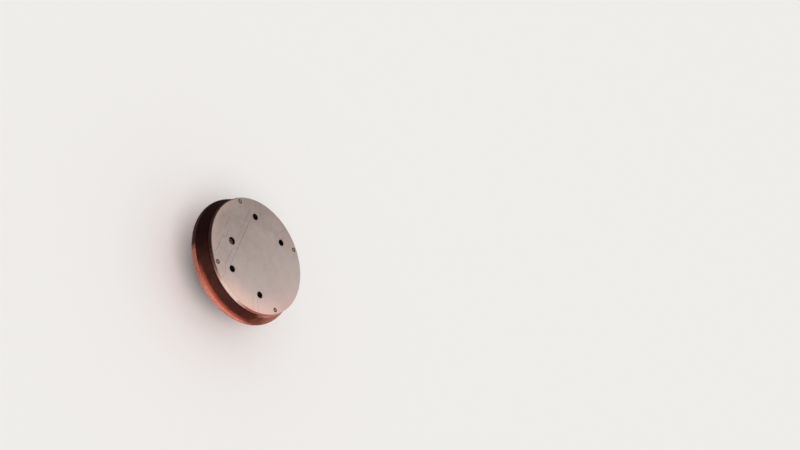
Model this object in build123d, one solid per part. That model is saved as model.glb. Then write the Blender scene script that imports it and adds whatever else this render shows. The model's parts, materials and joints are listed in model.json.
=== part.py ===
from build123d import *
import math
import os

# Small uncrewed return capsule, standing nose down on its heat shield.
# Lengths are in millimetres and angles in degrees. The origin is on the floor under the nose pole,
# +Z points up through the back cover, and +X runs along the long side of the socket rectangle.

# Heat shield: a spherical nose, a straight flank and a rounded shoulder
BASE_R = 450.0
NOSE_R = 450.0
FLANK_SLOPE = 45.0
SHOULDER_R = 45.0
FOOT_R = 45.0
TILE_T = 25.0
RIM_R = 424.0
TILE_GAP = 2.0
NOSE_END_R = 158.0
NOSE_TILES = 4
FLANK_END_R = 415.0
FLANK_TILES = 8

# Side wall, carrier shell and deck
WALL_T = 12.0
WALL_TOP_R = 418.0
WALL_GAP = 1.5
WALL_EDGE = 1.5
SHELL_T = 5.0
DECK_T = 8.0
DECK_ABOVE_SHOULDER = 17.0

# Back cover: a thin ablative skin on a stiff frame, with flush inlays
COVER_R = 416.0
COVER_RISE = 132.0
COVER_T = 30.0
SKIN_T = 5.0
COVER_EDGE = 1.5
COVER_GAP = 5.0
INLAY_T = 3.0
INLAY_SEAM = 1.6
INLAY_JOINT = 0.4

# Four sockets in a rectangle, and the umbilical port beside the long side
SOCKET_X = 252.0
SOCKET_Y = 136.0
SOCKET_R = 22.0
SOCKET_WALL = 7.0
SOCKET_FLOOR = 8.0
SOCKET_FOOT_R = 42.0
SOCKET_FOOT_T = 5.0
COVER_HOLE_R = 24.0
SLEEVE_T = 1.5
SLEEVE_SUNK = 0.5
PORT_X = -71.0
PORT_Y = 225.0
PORT_R = 27.0
PORT_DEPTH = 13.0
CONNECTOR_R = 20.0
CONNECTOR_STEM_R = 13.0
CONNECTOR_HEAD_T = 40.0
CONNECTOR_KEY_R = 15.0
CONNECTOR_KEY_T = 4.0

# Release fittings near the edge of the back cover, and the seat that they pull it down on
FITTING_PITCH_R = 388.5
FITTING_ANGLES = (49.0, 139.0, 229.0, 319.0)
FITTING_HEAD_R = 13.5
FITTING_HEAD_T = 5.0
FITTING_WELL_R = 16.5
FITTING_SHANK_R = 6.0
FITTING_HOLE_R = 6.5
FITTING_HEX = 4.0
FITTING_HEX_DEPTH = 3.0
FITTING_SHORT = 2.0
SEAT_INNER_R = 366.0
SEAT_T = 20.0
PAD_R = 18.0
PAD_CLEARANCE = 0.3
PAD_BORE_R = 5.0
PAD_BORE_DEPTH = 18.0
SEAL_INNER_R = 396.0
SEAL_OUTER_R = 403.0
SEAL_CLEARANCE = 0.5

# Parachute can in the middle of the deck, with the payload canister under it
CAN_R = 130.0
CAN_WALL = 3.0
CAN_FLOOR_Z = 170.0
CAN_LIP_DROP = 8.0
CAN_FLANGE_R = 150.0
CAN_FLANGE_T = 4.0
PACK_GAP = 1.0
PACK_CROWN = 14.0
PACK_DROP = 12.0
PAYLOAD_R = 110.0
PAYLOAD_BOTTOM_Z = 52.0

# Boxes on the deck: name, centre x, centre y, size x, size y, height
DECK_BOXES = (
    ("avionics_box", 0.0, -262.0, 250.0, 110.0, 58.0),
    ("battery_box", -292.0, 0.0, 100.0, 150.0, 46.0),
    ("beacon_box", 292.0, 0.0, 100.0, 150.0, 46.0),
    ("sequencer_box", 92.0, 262.0, 130.0, 100.0, 52.0),
)
BOX_EDGE = 6.0

# Right half of the harness cover's outline, as fractions of the back cover's radius. It is mirrored
# about X = 0. The points past 1.0 are cut off by the cover's own edge.
STRIP_TOP = 0.474
HARNESS_HALF = (
    (0.640, STRIP_TOP),
    (0.770, 0.400),
    (1.000, 0.470),
    (1.060, 0.420),
    (0.712, 0.245),
    (0.712, -0.203),
    (1.050, -0.375),
    (1.000, -0.480),
    (0.734, -0.341),
    (0.650, -0.300),
    (0.650, 0.260),
    (0.580, 0.388),
)
# Umbilical panel's outline above the harness strip, as fractions of the same radius
PANEL_UPPER = (
    (0.187, 0.600),
    (0.176, 0.756),
    (-0.063, 0.756),
    (-0.066, 0.670),
    (-0.207, 0.670),
    (-0.207, 0.730),
    (-0.490, 0.724),
    (-0.590, 0.745),
    (-0.622, 0.712),
    (-0.604, 0.590),
)
PANEL_LEFT_X = -0.600
PANEL_RIGHT_X = 0.187
JOINT_LEFT_X = -0.284

# Heights worked out from the driving dimensions
NOSE_CENTRE_Z = math.sqrt(NOSE_R**2 - FOOT_R**2)
SLOPE = math.radians(FLANK_SLOPE)
SHOULDER_CENTRE_R = BASE_R - SHOULDER_R


def on_nose(radius, degrees):
    """Point (r, z) on a sphere about the nose centre, at an angle from straight down."""
    a = math.radians(degrees)
    return (radius * math.sin(a), NOSE_CENTRE_Z - radius * math.cos(a))


def on_flank(r, depth=0.0):
    """Point (r, z) on the flank's outer line, moved inward along its normal."""
    start_r, start_z = on_nose(NOSE_R, FLANK_SLOPE)
    z = start_z + (r - start_r) * math.tan(SLOPE)
    return (r - depth * math.sin(SLOPE), z + depth * math.cos(SLOPE))


FLANK_TOP = on_flank(SHOULDER_CENTRE_R + SHOULDER_R * math.sin(SLOPE))
SHOULDER_Z = FLANK_TOP[1] + SHOULDER_R * math.cos(SLOPE)
FACE_Z = SHOULDER_Z + COVER_RISE
COVER_LOW_Z = FACE_Z - COVER_T
WALL_TOP_Z = COVER_LOW_Z - COVER_GAP
DECK_TOP_Z = SHOULDER_Z + DECK_ABOVE_SHOULDER + DECK_T

# Lean of the side wall, so that its line from the top edge is tangent to the shoulder
WALL_RUN = SHOULDER_CENTRE_R - WALL_TOP_R
WALL_RISE = WALL_TOP_Z - SHOULDER_Z
WALL_LEAN = math.asin(SHOULDER_R / math.hypot(WALL_RUN, WALL_RISE)) + math.atan2(WALL_RUN, WALL_RISE)
SHOULDER_TOP = (
    SHOULDER_CENTRE_R + SHOULDER_R * math.cos(WALL_LEAN),
    SHOULDER_Z + SHOULDER_R * math.sin(WALL_LEAN),
)


def wall_r(z, depth=0.0):
    """Radius of the side wall at a height, moved inward through its thickness."""
    return WALL_TOP_R + (WALL_TOP_Z - z) * math.tan(WALL_LEAN) - depth / math.cos(WALL_LEAN)


def spin(*outline):
    """Revolve a closed (r, z) outline about Z. An item of two points is an arc: middle, end."""
    edges = []
    here = outline[0]
    for item in outline[1:] + (outline[0],):
        arc = isinstance(item[0], tuple)
        stops = [here, *item] if arc else [here, item]
        points = [(r, 0.0, z) for r, z in stops]
        edges.append(ThreePointArc(*points) if arc else Line(*points))
        here = stops[-1]
    return revolve(make_face(edges), Axis.Z)


def rod(radius, z_low, z_high, x=0.0, y=0.0):
    """Upright cylinder between two heights."""
    height = z_high - z_low
    return Pos(x, y, z_low + height / 2) * Cylinder(radius, height)


def prism(points, z_low, z_high, inset=0.0):
    """Upright prism on a closed polygon, its sides moved inward by an inset."""
    face = make_face(Polyline(*points, close=True))
    if inset:
        face = offset(face, amount=-inset, kind=Kind.INTERSECTION)
    return extrude(Pos(0, 0, z_low) * face, amount=z_high - z_low)


def around(radius, degrees):
    """Point (x, y) on a circle about Z."""
    a = math.radians(degrees)
    return (radius * math.cos(a), radius * math.sin(a))


SOCKET_CENTRES = [(sx * SOCKET_X, sy * SOCKET_Y) for sx, sy in ((1, 1), (-1, 1), (-1, -1), (1, -1))]
FITTING_CENTRES = [around(FITTING_PITCH_R, degrees) for degrees in FITTING_ANGLES]


def split(shape, count):
    """Cut a turned shape into an even number of equal tiles, in order of their angle."""
    step = 360.0 / count
    for index in range(count // 2):
        shape -= Rot(0, 0, (index + 0.5) * step) * Box(3 * BASE_R, TILE_GAP, 3 * BASE_R)
    return sorted(shape.solids(), key=lambda tile: math.atan2(tile.center().Y, tile.center().X) % math.tau)


def nose_tiles():
    """Four tiles over the nose, with the small flat that the capsule stands on."""
    end = math.degrees(math.asin(NOSE_END_R / NOSE_R))
    inner_r = NOSE_R - TILE_T
    cap = spin(
        (0.0, 0.0),
        (FOOT_R, 0.0),
        (on_nose(NOSE_R, end * 0.6), on_nose(NOSE_R, end)),
        on_nose(inner_r, end),
        (on_nose(inner_r, end / 2), (0.0, NOSE_CENTRE_Z - inner_r)),
    )
    return split(cap, NOSE_TILES)


def flank_tiles():
    """Eight equal tiles between the nose and the shoulder ring."""
    gap_angle = math.degrees(TILE_GAP / NOSE_R)
    start = math.degrees(math.asin(NOSE_END_R / NOSE_R)) + gap_angle
    middle = (start + FLANK_SLOPE) / 2
    inner_r = NOSE_R - TILE_T
    ring = spin(
        on_nose(NOSE_R, start),
        (on_nose(NOSE_R, middle), on_nose(NOSE_R, FLANK_SLOPE)),
        on_flank(FLANK_END_R),
        on_flank(FLANK_END_R, TILE_T),
        on_nose(inner_r, FLANK_SLOPE),
        (on_nose(inner_r, middle), on_nose(inner_r, start)),
    )
    return split(ring, FLANK_TILES)


def shoulder_ring():
    """Rounded ring that closes the heat shield and carries the side wall's foot."""
    gap_r = TILE_GAP * math.cos(SLOPE)
    arc_middle = (BASE_R, SHOULDER_Z)
    corner = on_flank(RIM_R + TILE_T * math.sin(SLOPE), TILE_T)
    return spin(
        on_flank(FLANK_END_R + gap_r),
        FLANK_TOP,
        (arc_middle, SHOULDER_TOP),
        (RIM_R, SHOULDER_TOP[1]),
        corner,
        on_flank(FLANK_END_R + gap_r, TILE_T),
    )


def carrier_shell():
    """Thin dish that carries the tiles, with an upright rim under the deck."""
    outer_r = NOSE_R - TILE_T
    inner_r = outer_r - SHELL_T
    depth = TILE_T + SHELL_T
    corner_out = on_flank(RIM_R + TILE_T * math.sin(SLOPE), TILE_T)
    corner_in = on_flank(RIM_R - SHELL_T + depth * math.sin(SLOPE), depth)
    deck_low = DECK_TOP_Z - DECK_T
    return spin(
        (0.0, NOSE_CENTRE_Z - outer_r),
        (on_nose(outer_r, FLANK_SLOPE / 2), on_nose(outer_r, FLANK_SLOPE)),
        corner_out,
        (RIM_R, deck_low),
        (RIM_R - SHELL_T, deck_low),
        corner_in,
        on_nose(inner_r, FLANK_SLOPE),
        (on_nose(inner_r, FLANK_SLOPE / 2), (0.0, NOSE_CENTRE_Z - inner_r)),
    )


def side_wall():
    """Leaning wall from the shoulder up to the gap under the back cover."""
    low = SHOULDER_TOP[1] + WALL_GAP
    top = WALL_TOP_Z
    return spin(
        (wall_r(low), low),
        (wall_r(top - WALL_EDGE), top - WALL_EDGE),
        (wall_r(top) - WALL_EDGE, top),
        (wall_r(top, WALL_T), top),
        (wall_r(low, WALL_T), low),
    )


def deck():
    """Round bulkhead inside the side wall, with a hole for the parachute can."""
    low = DECK_TOP_Z - DECK_T
    plate = spin(
        (0.0, low),
        (wall_r(low, WALL_T), low),
        (wall_r(DECK_TOP_Z, WALL_T), DECK_TOP_Z),
        (0.0, DECK_TOP_Z),
    )
    return plate - rod(CAN_R, low, DECK_TOP_Z)


def seat_ring():
    """Ring inside the top of the wall, with a raised, tapped pad under each release fitting."""
    low = WALL_TOP_Z - SEAT_T
    ring = spin(
        (SEAT_INNER_R, low),
        (wall_r(low, WALL_T), low),
        (wall_r(WALL_TOP_Z, WALL_T), WALL_TOP_Z),
        (SEAT_INNER_R, WALL_TOP_Z),
    )
    pad_top = COVER_LOW_Z - PAD_CLEARANCE
    for x, y in FITTING_CENTRES:
        ring += rod(PAD_R, low, pad_top, x, y) & rod(SEAL_INNER_R - 1.0, low, pad_top)
    for x, y in FITTING_CENTRES:
        ring -= rod(PAD_BORE_R, pad_top - PAD_BORE_DEPTH, pad_top, x, y)
    return ring


def cover_seal():
    """Flat seal on the seat ring, just under the back cover."""
    top = COVER_LOW_Z - SEAL_CLEARANCE
    return rod(SEAL_OUTER_R, WALL_TOP_Z, top) - rod(SEAL_INNER_R, WALL_TOP_Z, top)


def socket_tube(x, y):
    """Blind upright socket on the deck that takes a post of the carrier craft."""
    floor = DECK_TOP_Z + SOCKET_FLOOR
    tube = rod(SOCKET_R + SOCKET_WALL, DECK_TOP_Z, WALL_TOP_Z, x, y)
    tube += rod(SOCKET_FOOT_R, DECK_TOP_Z, DECK_TOP_Z + SOCKET_FOOT_T, x, y)
    return tube - rod(SOCKET_R, floor, WALL_TOP_Z, x, y)


def umbilical_connector():
    """Round connector on a stem, its face sunk in the back cover's port."""
    face = FACE_Z - PORT_DEPTH
    body = rod(CONNECTOR_R, face - CONNECTOR_HEAD_T, face, PORT_X, PORT_Y)
    body += rod(CONNECTOR_STEM_R, DECK_TOP_Z, face - CONNECTOR_HEAD_T, PORT_X, PORT_Y)
    body += rod(CONNECTOR_R, DECK_TOP_Z, DECK_TOP_Z + SOCKET_FOOT_T, PORT_X, PORT_Y)
    return body - rod(CONNECTOR_KEY_R, face - CONNECTOR_KEY_T, face, PORT_X, PORT_Y)


def parachute_can():
    """Open can that hangs through the deck by its flange."""
    top = WALL_TOP_Z - CAN_LIP_DROP
    can = rod(CAN_R, CAN_FLOOR_Z, top)
    can += rod(CAN_FLANGE_R, DECK_TOP_Z, DECK_TOP_Z + CAN_FLANGE_T)
    return can - rod(CAN_R - CAN_WALL, CAN_FLOOR_Z + CAN_WALL, top)


def parachute_pack():
    """Packed canopy, filling the can up to a low crown."""
    r = CAN_R - CAN_WALL - PACK_GAP
    low = CAN_FLOOR_Z + CAN_WALL
    top = WALL_TOP_Z - CAN_LIP_DROP - PACK_DROP
    crown_r = (r**2 + PACK_CROWN**2) / (2 * PACK_CROWN)
    middle_z = top + PACK_CROWN - crown_r + math.sqrt(crown_r**2 - (r / 2) ** 2)
    return spin((0.0, low), (r, low), (r, top), ((r / 2, middle_z), (0.0, top + PACK_CROWN)))


def deck_box(x, y, size_x, size_y, height):
    """Equipment box on the deck with chamfered upper edges."""
    box = Pos(x, y, DECK_TOP_Z + height / 2) * Box(size_x, size_y, height)
    return chamfer(box.faces().sort_by(Axis.Z)[-1].edges(), BOX_EDGE)


def harness_outline():
    """Closed polygon of the harness cover, in millimetres."""
    right = [(COVER_R * x, COVER_R * y) for x, y in HARNESS_HALF]
    left = [(-x, y) for x, y in reversed(right)]
    return right + left


def panel_outline():
    """Closed polygon of the umbilical panel, in millimetres."""
    low = STRIP_TOP - INLAY_SEAM / COVER_R
    points = [(PANEL_LEFT_X, low), (PANEL_RIGHT_X, low), *PANEL_UPPER]
    return [(COVER_R * x, COVER_R * y) for x, y in points]


def cover_blank(z_low, z_high, top_edge, low_edge):
    """Disc of the back cover between two heights, with chamfered rims."""
    return spin(
        (0.0, z_low),
        (COVER_R - low_edge, z_low),
        (COVER_R, z_low + low_edge),
        (COVER_R, z_high - top_edge),
        (COVER_R - top_edge, z_high),
        (0.0, z_high),
    )


def cover_holes(shank_r):
    """Cutters for the sockets, the umbilical port and the release fittings."""
    low = COVER_LOW_Z - 1.0
    high = FACE_Z + 1.0
    cutters = [rod(COVER_HOLE_R, low, high, x, y) for x, y in SOCKET_CENTRES]
    cutters.append(rod(PORT_R, low, high, PORT_X, PORT_Y))
    cutters += [rod(shank_r, low, high, x, y) for x, y in FITTING_CENTRES]
    return cutters


SKIN_LOW_Z = FACE_Z - SKIN_T
SKIN = cover_blank(SKIN_LOW_Z, FACE_Z, COVER_EDGE, COVER_EDGE)


def cover_skin():
    """Ablative outer sheet with the pockets of its two inlays and the wells of the fittings."""
    skin = SKIN
    for cutter in cover_holes(FITTING_HOLE_R):
        skin -= cutter
    floor = FACE_Z - INLAY_T
    for outline in (harness_outline(), panel_outline()):
        skin -= prism(outline, floor, FACE_Z)
    for x, y in FITTING_CENTRES:
        skin -= rod(FITTING_WELL_R, FACE_Z - FITTING_HEAD_T, FACE_Z, x, y)
    return skin


def cover_frame():
    """Stiff disc that backs the skin all over."""
    frame = cover_blank(COVER_LOW_Z, SKIN_LOW_Z, COVER_EDGE, COVER_EDGE)
    for cutter in cover_holes(FITTING_HOLE_R):
        frame -= cutter
    return frame


def inlay(outline):
    """Flush inlay inside a pocket, clear of its sides by the seam."""
    blank = SKIN & prism(outline, FACE_Z - INLAY_T, FACE_Z, INLAY_SEAM)
    for cutter in cover_holes(FITTING_HOLE_R):
        blank -= cutter
    return blank


def umbilical_panel():
    """Inlay around the port, with a tongue that closes the joint with the harness cover."""
    low = STRIP_TOP * COVER_R - INLAY_SEAM + INLAY_JOINT
    left = JOINT_LEFT_X * COVER_R
    right = PANEL_RIGHT_X * COVER_R - INLAY_SEAM
    tongue = [(left, low), (right, low), (right, low + 4 * INLAY_SEAM), (left, low + 4 * INLAY_SEAM)]
    panel = inlay(panel_outline()) + prism(tongue, FACE_Z - INLAY_T, FACE_Z)
    return panel - rod(PORT_R, FACE_Z - INLAY_T, FACE_Z, PORT_X, PORT_Y)


def sleeve(hole_r, x, y):
    """Thin dark lining of a hole in the back cover, a little below the face."""
    top = FACE_Z - SLEEVE_SUNK
    return rod(hole_r, COVER_LOW_Z, top, x, y) - rod(hole_r - SLEEVE_T, COVER_LOW_Z, top, x, y)


def release_fitting(x, y):
    """Round head in its well, on a shank that stops inside the back cover."""
    fitting = rod(FITTING_HEAD_R, FACE_Z - FITTING_HEAD_T, FACE_Z, x, y)
    fitting += rod(FITTING_SHANK_R, COVER_LOW_Z + FITTING_SHORT, FACE_Z - FITTING_HEAD_T, x, y)
    hexagon = Pos(x, y, FACE_Z - FITTING_HEX_DEPTH) * RegularPolygon(FITTING_HEX, 6)
    return fitting - extrude(hexagon, amount=FITTING_HEX_DEPTH)


def build():
    """Every node of the capsule by name."""
    nodes = {
        "shoulder_ring": shoulder_ring(),
        "carrier_shell": carrier_shell(),
        "side_wall": side_wall(),
        "deck": deck(),
        "seat_ring": seat_ring(),
        "cover_seal": cover_seal(),
        "parachute_can": parachute_can(),
        "parachute_pack": parachute_pack(),
        "payload_canister": rod(PAYLOAD_R, PAYLOAD_BOTTOM_Z, CAN_FLOOR_Z),
        "umbilical_connector": umbilical_connector(),
        "cover_skin": cover_skin(),
        "cover_frame": cover_frame(),
        "harness_cover": inlay(harness_outline()),
        "umbilical_panel": umbilical_panel(),
        "port_sleeve": sleeve(PORT_R, PORT_X, PORT_Y),
    }
    for index, tile in enumerate(nose_tiles(), 1):
        nodes[f"nose_tile_{index}"] = tile
    for index, tile in enumerate(flank_tiles(), 1):
        nodes[f"flank_tile_{index}"] = tile
    for index, (x, y) in enumerate(SOCKET_CENTRES, 1):
        nodes[f"socket_tube_{index}"] = socket_tube(x, y)
        nodes[f"socket_sleeve_{index}"] = sleeve(COVER_HOLE_R, x, y)
    for index, (x, y) in enumerate(FITTING_CENTRES, 1):
        nodes[f"release_fitting_{index}"] = release_fitting(x, y)
    for name, *sizes in DECK_BOXES:
        nodes[name] = deck_box(*sizes)
    return nodes


os.makedirs("parts", exist_ok=True)
for node, shape in build().items():
    export_step(shape, f"parts/{node}.step")
    print(f"{node}: volume {shape.volume / 1000:.1f} cm3")
print(f"face at {FACE_Z:.2f}, shoulder at {SHOULDER_Z:.2f}, deck at {DECK_TOP_Z:.2f}")
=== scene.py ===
"""Looks of a small uncrewed return capsule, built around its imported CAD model.

Lengths are in metres in the part's own frame: the origin is on the floor under the nose pole, +Z points
up through the back cover and +X runs along the long side of the socket rectangle. Colours are linear.
The numbers in a finish's build method are its recipe: noise scales count features per metre, and weights
are shares of 1.
"""

import json
import logging
import math
from collections.abc import Iterable, Sequence
from dataclasses import dataclass, field
from enum import Enum

import bmesh
import bpy
from mathutils import Matrix, Vector
from mathutils.bvhtree import BVHTree

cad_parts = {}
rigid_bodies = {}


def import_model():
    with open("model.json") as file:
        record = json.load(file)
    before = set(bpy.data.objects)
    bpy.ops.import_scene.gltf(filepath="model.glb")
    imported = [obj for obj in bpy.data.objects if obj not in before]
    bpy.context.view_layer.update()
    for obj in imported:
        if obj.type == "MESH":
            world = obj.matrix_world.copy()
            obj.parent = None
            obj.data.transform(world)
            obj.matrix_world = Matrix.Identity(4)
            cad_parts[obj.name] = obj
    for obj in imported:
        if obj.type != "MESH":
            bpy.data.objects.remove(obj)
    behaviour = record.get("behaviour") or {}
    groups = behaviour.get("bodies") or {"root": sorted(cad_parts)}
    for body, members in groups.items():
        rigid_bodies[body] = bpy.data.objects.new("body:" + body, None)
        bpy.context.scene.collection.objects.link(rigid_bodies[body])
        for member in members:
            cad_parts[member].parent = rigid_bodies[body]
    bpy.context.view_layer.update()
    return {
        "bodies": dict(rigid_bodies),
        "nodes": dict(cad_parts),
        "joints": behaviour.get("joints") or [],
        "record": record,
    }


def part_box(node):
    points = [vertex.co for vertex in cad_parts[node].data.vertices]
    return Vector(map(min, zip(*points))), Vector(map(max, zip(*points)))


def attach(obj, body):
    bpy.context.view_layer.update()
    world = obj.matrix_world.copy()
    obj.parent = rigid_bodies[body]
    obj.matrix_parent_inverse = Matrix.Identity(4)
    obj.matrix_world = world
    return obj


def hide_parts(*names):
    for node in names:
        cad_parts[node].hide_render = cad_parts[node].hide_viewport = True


log = logging.getLogger("capsule")

Colour = tuple[float, float, float]
Flat = tuple[float, float]
Socket = bpy.types.NodeSocket
WELD = 1e-6


class Body(Enum):
    """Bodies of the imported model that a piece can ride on."""

    CAPSULE = "capsule"
    BACK_COVER = "back_cover"


class Slot(Enum):
    """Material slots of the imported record."""

    HEAT_SHIELD = "heat_shield"
    CARRIER = "carrier"
    SIDE_WALL = "side_wall"
    DECK = "deck"
    SEAT = "seat"
    SEAL = "seal"
    CAN = "can"
    CANOPY = "canopy"
    CANISTER = "canister"
    CONNECTOR = "connector"
    COVER = "cover"
    COVER_EDGE = "cover_edge"
    ELECTRONICS = "electronics"
    BATTERY = "battery"
    SOCKET = "socket"
    SLEEVE = "sleeve"
    FITTING = "fitting"


class Graph:
    """Node tree of one material, built by small calls that each return an output socket."""

    def __init__(self, name: str) -> None:
        """Start a material with a Principled shader.

        Args:
            name: Name of the material.
        """
        self.material = bpy.data.materials.new(name)
        self.material.use_nodes = True
        self.tree = self.material.node_tree
        self.tree.nodes.clear()
        self.shader = self.add("ShaderNodeBsdfPrincipled")
        output = self.add("ShaderNodeOutputMaterial")
        self.tree.links.new(self.shader.outputs["BSDF"], output.inputs["Surface"])
        self.point = self.add("ShaderNodeTexCoord").outputs["Object"]
        split = self.add("ShaderNodeSeparateXYZ")
        self.put(split.inputs[0], self.point)
        self.x, self.y, self.z = split.outputs

    def add(self, kind: str, **settings: object) -> bpy.types.Node:
        """Add a node.

        Args:
            kind: The node's type name.
            **settings: Properties of the node.

        Returns:
            The new node.
        """
        node = self.tree.nodes.new(kind)
        for key, value in settings.items():
            setattr(node, key, value)
        return node

    def put(self, socket: Socket, value: object) -> None:
        """Feed an input socket.

        Args:
            socket: The input.
            value: An output socket to link, or a constant.
        """
        if isinstance(value, Socket):
            self.tree.links.new(value, socket)
        elif socket.type == "RGBA":
            socket.default_value = (*value, 1.0)
        else:
            socket.default_value = value

    def shade(self, **inputs: object) -> bpy.types.Material:
        """Set inputs of the shader.

        Args:
            **inputs: Values by input name, with underscores for spaces.

        Returns:
            The finished material.
        """
        for key, value in inputs.items():
            self.put(self.shader.inputs[key.replace("_", " ")], value)
        return self.material

    def math(self, operation: str, *values: object) -> Socket:
        """Work out one Math node.

        Args:
            operation: The node's operation.
            *values: Its inputs in order.

        Returns:
            The result.
        """
        node = self.add("ShaderNodeMath", operation=operation)
        for socket, value in zip(node.inputs, values):
            self.put(socket, value)
        return node.outputs[0]

    def product(self, first: object, second: object) -> Socket:
        """Multiply two values."""
        return self.math("MULTIPLY", first, second)

    def total(self, *terms: tuple[object, float]) -> Socket:
        """Add up weighted values.

        Args:
            *terms: Pairs of a value and its weight.

        Returns:
            The weighted sum.
        """
        result: object = 0.0
        for value, weight in terms:
            result = self.math("MULTIPLY_ADD", value, weight, result)
        return result

    def step(self, value: object, low: float, high: float) -> Socket:
        """Rise smoothly from 0 to 1 as a value goes from one bound to the other.

        Args:
            value: The value.
            low: Where the result is 0.
            high: Where the result is 1. It may be below low.

        Returns:
            The smooth step.
        """
        node = self.add("ShaderNodeMapRange", interpolation_type="SMOOTHSTEP")
        turned = high < low
        bounds = (high, low, 1.0, 0.0) if turned else (low, high, 0.0, 1.0)
        for socket, number in zip(node.inputs, (value, *bounds)):
            self.put(socket, number)
        return node.outputs[0]

    def spread(self, value: Socket, low: float, high: float) -> Socket:
        """Scale a value from 0..1 to a range.

        Args:
            value: The value.
            low: Result at 0.
            high: Result at 1.

        Returns:
            The scaled value.
        """
        return self.math("MULTIPLY_ADD", value, high - low, low)

    def mix(self, factor: object, first: object, second: object, blend: str = "MIX") -> Socket:
        """Mix two colours.

        Args:
            factor: 0 gives the first colour and 1 the full effect of the second.
            first: First colour.
            second: Second colour.
            blend: How the second colour acts on the first.

        Returns:
            The mixed colour.
        """
        node = self.add("ShaderNodeMix", data_type="RGBA", blend_type=blend)
        self.put(node.inputs["Factor"], factor)
        self.put(node.inputs[6], first)
        self.put(node.inputs[7], second)
        return node.outputs[2]

    def tint(self, colour: object, other: object, mask: Socket, amount: float) -> Socket:
        """Turn a colour towards another one where a mask says so.

        Args:
            colour: The colour.
            other: The colour that it turns to.
            mask: Where it turns, from 0 to 1.
            amount: Share of the other colour where the mask is 1.

        Returns:
            The tinted colour.
        """
        return self.mix(self.product(mask, amount), colour, other)

    def ramp(self, factor: Socket, *stops: tuple[float, Colour]) -> Socket:
        """Look a value up on a colour ramp.

        Args:
            factor: The value.
            *stops: Pairs of a position and a colour.

        Returns:
            The colour.
        """
        node = self.add("ShaderNodeValToRGB")
        elements = node.color_ramp.elements
        while len(elements) < len(stops):
            elements.new(0.5)
        for element, (position, colour) in zip(elements, stops):
            element.position = position
            element.color = (*colour, 1.0)
        self.put(node.inputs[0], factor)
        return node.outputs[0]

    def stretch(self, scale: Sequence[float], turn: float = 0.0) -> Socket:
        """Scale the texture point by axis.

        Args:
            scale: Factors by axis.
            turn: Turn about Z in degrees before scaling.

        Returns:
            The scaled point.
        """
        node = self.add("ShaderNodeMapping", vector_type="TEXTURE" if turn else "POINT")
        self.put(node.inputs["Vector"], self.point)
        if turn:
            node.inputs["Rotation"].default_value = (0.0, 0.0, math.radians(turn))
            scale = [1.0 / number for number in scale]
        node.inputs["Scale"].default_value = scale
        return node.outputs[0]

    def noise(self, scale: float, detail: float = 4.0, roughness: float = 0.55,
              vector: Socket | None = None) -> Socket:
        """Sample fractal noise.

        Args:
            scale: Features per metre.
            detail: Octaves.
            roughness: Share of the fine octaves.
            vector: Where to sample, or None for the object's point.

        Returns:
            The noise, about 0.5 on average.
        """
        node = self.add("ShaderNodeTexNoise")
        self.put(node.inputs["Vector"], vector or self.point)
        for key, value in (("Scale", scale), ("Detail", detail), ("Roughness", roughness)):
            self.put(node.inputs[key], value)
        return node.outputs["Fac"]

    def cells(self, scale: float) -> tuple[Socket, Socket]:
        """Sample a cell pattern.

        Args:
            scale: Cells per metre.

        Returns:
            The distance to the cell's middle, and a random tone for each cell.
        """
        node = self.add("ShaderNodeTexVoronoi")
        self.put(node.inputs["Vector"], self.point)
        self.put(node.inputs["Scale"], scale)
        tone = self.add("ShaderNodeSeparateColor")
        self.put(tone.inputs[0], node.outputs["Color"])
        return node.outputs["Distance"], tone.outputs[0]

    def radius(self, centre: Flat = (0.0, 0.0), folded: bool = False) -> Socket:
        """Distance from an upright axis.

        Args:
            centre: Where the axis stands.
            folded: True to count all four mirror images of the axis as one.

        Returns:
            The distance.
        """
        x, y = (self.math("ABSOLUTE", axis) for axis in (self.x, self.y)) if folded else (self.x, self.y)
        dx = self.math("SUBTRACT", x, centre[0])
        dy = self.math("SUBTRACT", y, centre[1])
        return self.math("SQRT", self.math("ADD", self.product(dx, dx), self.product(dy, dy)))

    def outward(self) -> tuple[Socket, Socket]:
        """Direction away from the capsule's axis, as a flat vector of length 1."""
        radius = self.math("MAXIMUM", self.radius(), WELD)
        return self.math("DIVIDE", self.x, radius), self.math("DIVIDE", self.y, radius)

    def round_point(self, turns: float, rise: Socket | float, rise_scale: float) -> Socket:
        """Point for patterns that run round the capsule's axis without a seam.

        Args:
            turns: Features per radian round the axis.
            rise: The coordinate along the pattern.
            rise_scale: Features per metre of that coordinate.

        Returns:
            The point.
        """
        across, forth = self.outward()
        join = self.add("ShaderNodeCombineXYZ")
        for socket, value, scale in zip(join.inputs, (across, forth, rise), (turns, turns, rise_scale)):
            self.put(socket, self.product(value, scale))
        return join.outputs[0]

    def facing(self, degrees: float) -> Socket:
        """How much a place faces a direction round the axis.

        Args:
            degrees: The direction, anticlockwise from +X.

        Returns:
            1 on that side of the capsule, 0 a quarter turn from it and -1 on the far side.
        """
        across, forth = self.outward()
        angle = math.radians(degrees)
        return self.total((across, math.cos(angle)), (forth, math.sin(angle)))

    def azimuth(self) -> Socket:
        """Direction round the axis as a share of a turn, anticlockwise from +X."""
        turn = self.math("ARCTAN2", self.product(self.y, -1.0), self.product(self.x, -1.0))
        return self.math("MULTIPLY_ADD", turn, 1.0 / math.tau, 0.5)

    def round_ramp(self, place: Socket, *stops: tuple[float, Colour]) -> Socket:
        """Look a direction up on a colour ramp.

        Args:
            place: Direction as a share of a turn.
            *stops: Pairs of an angle in degrees and a colour.

        Returns:
            The colour.
        """
        return self.ramp(place, *((degrees / 360.0, colour) for degrees, colour in stops))

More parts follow.
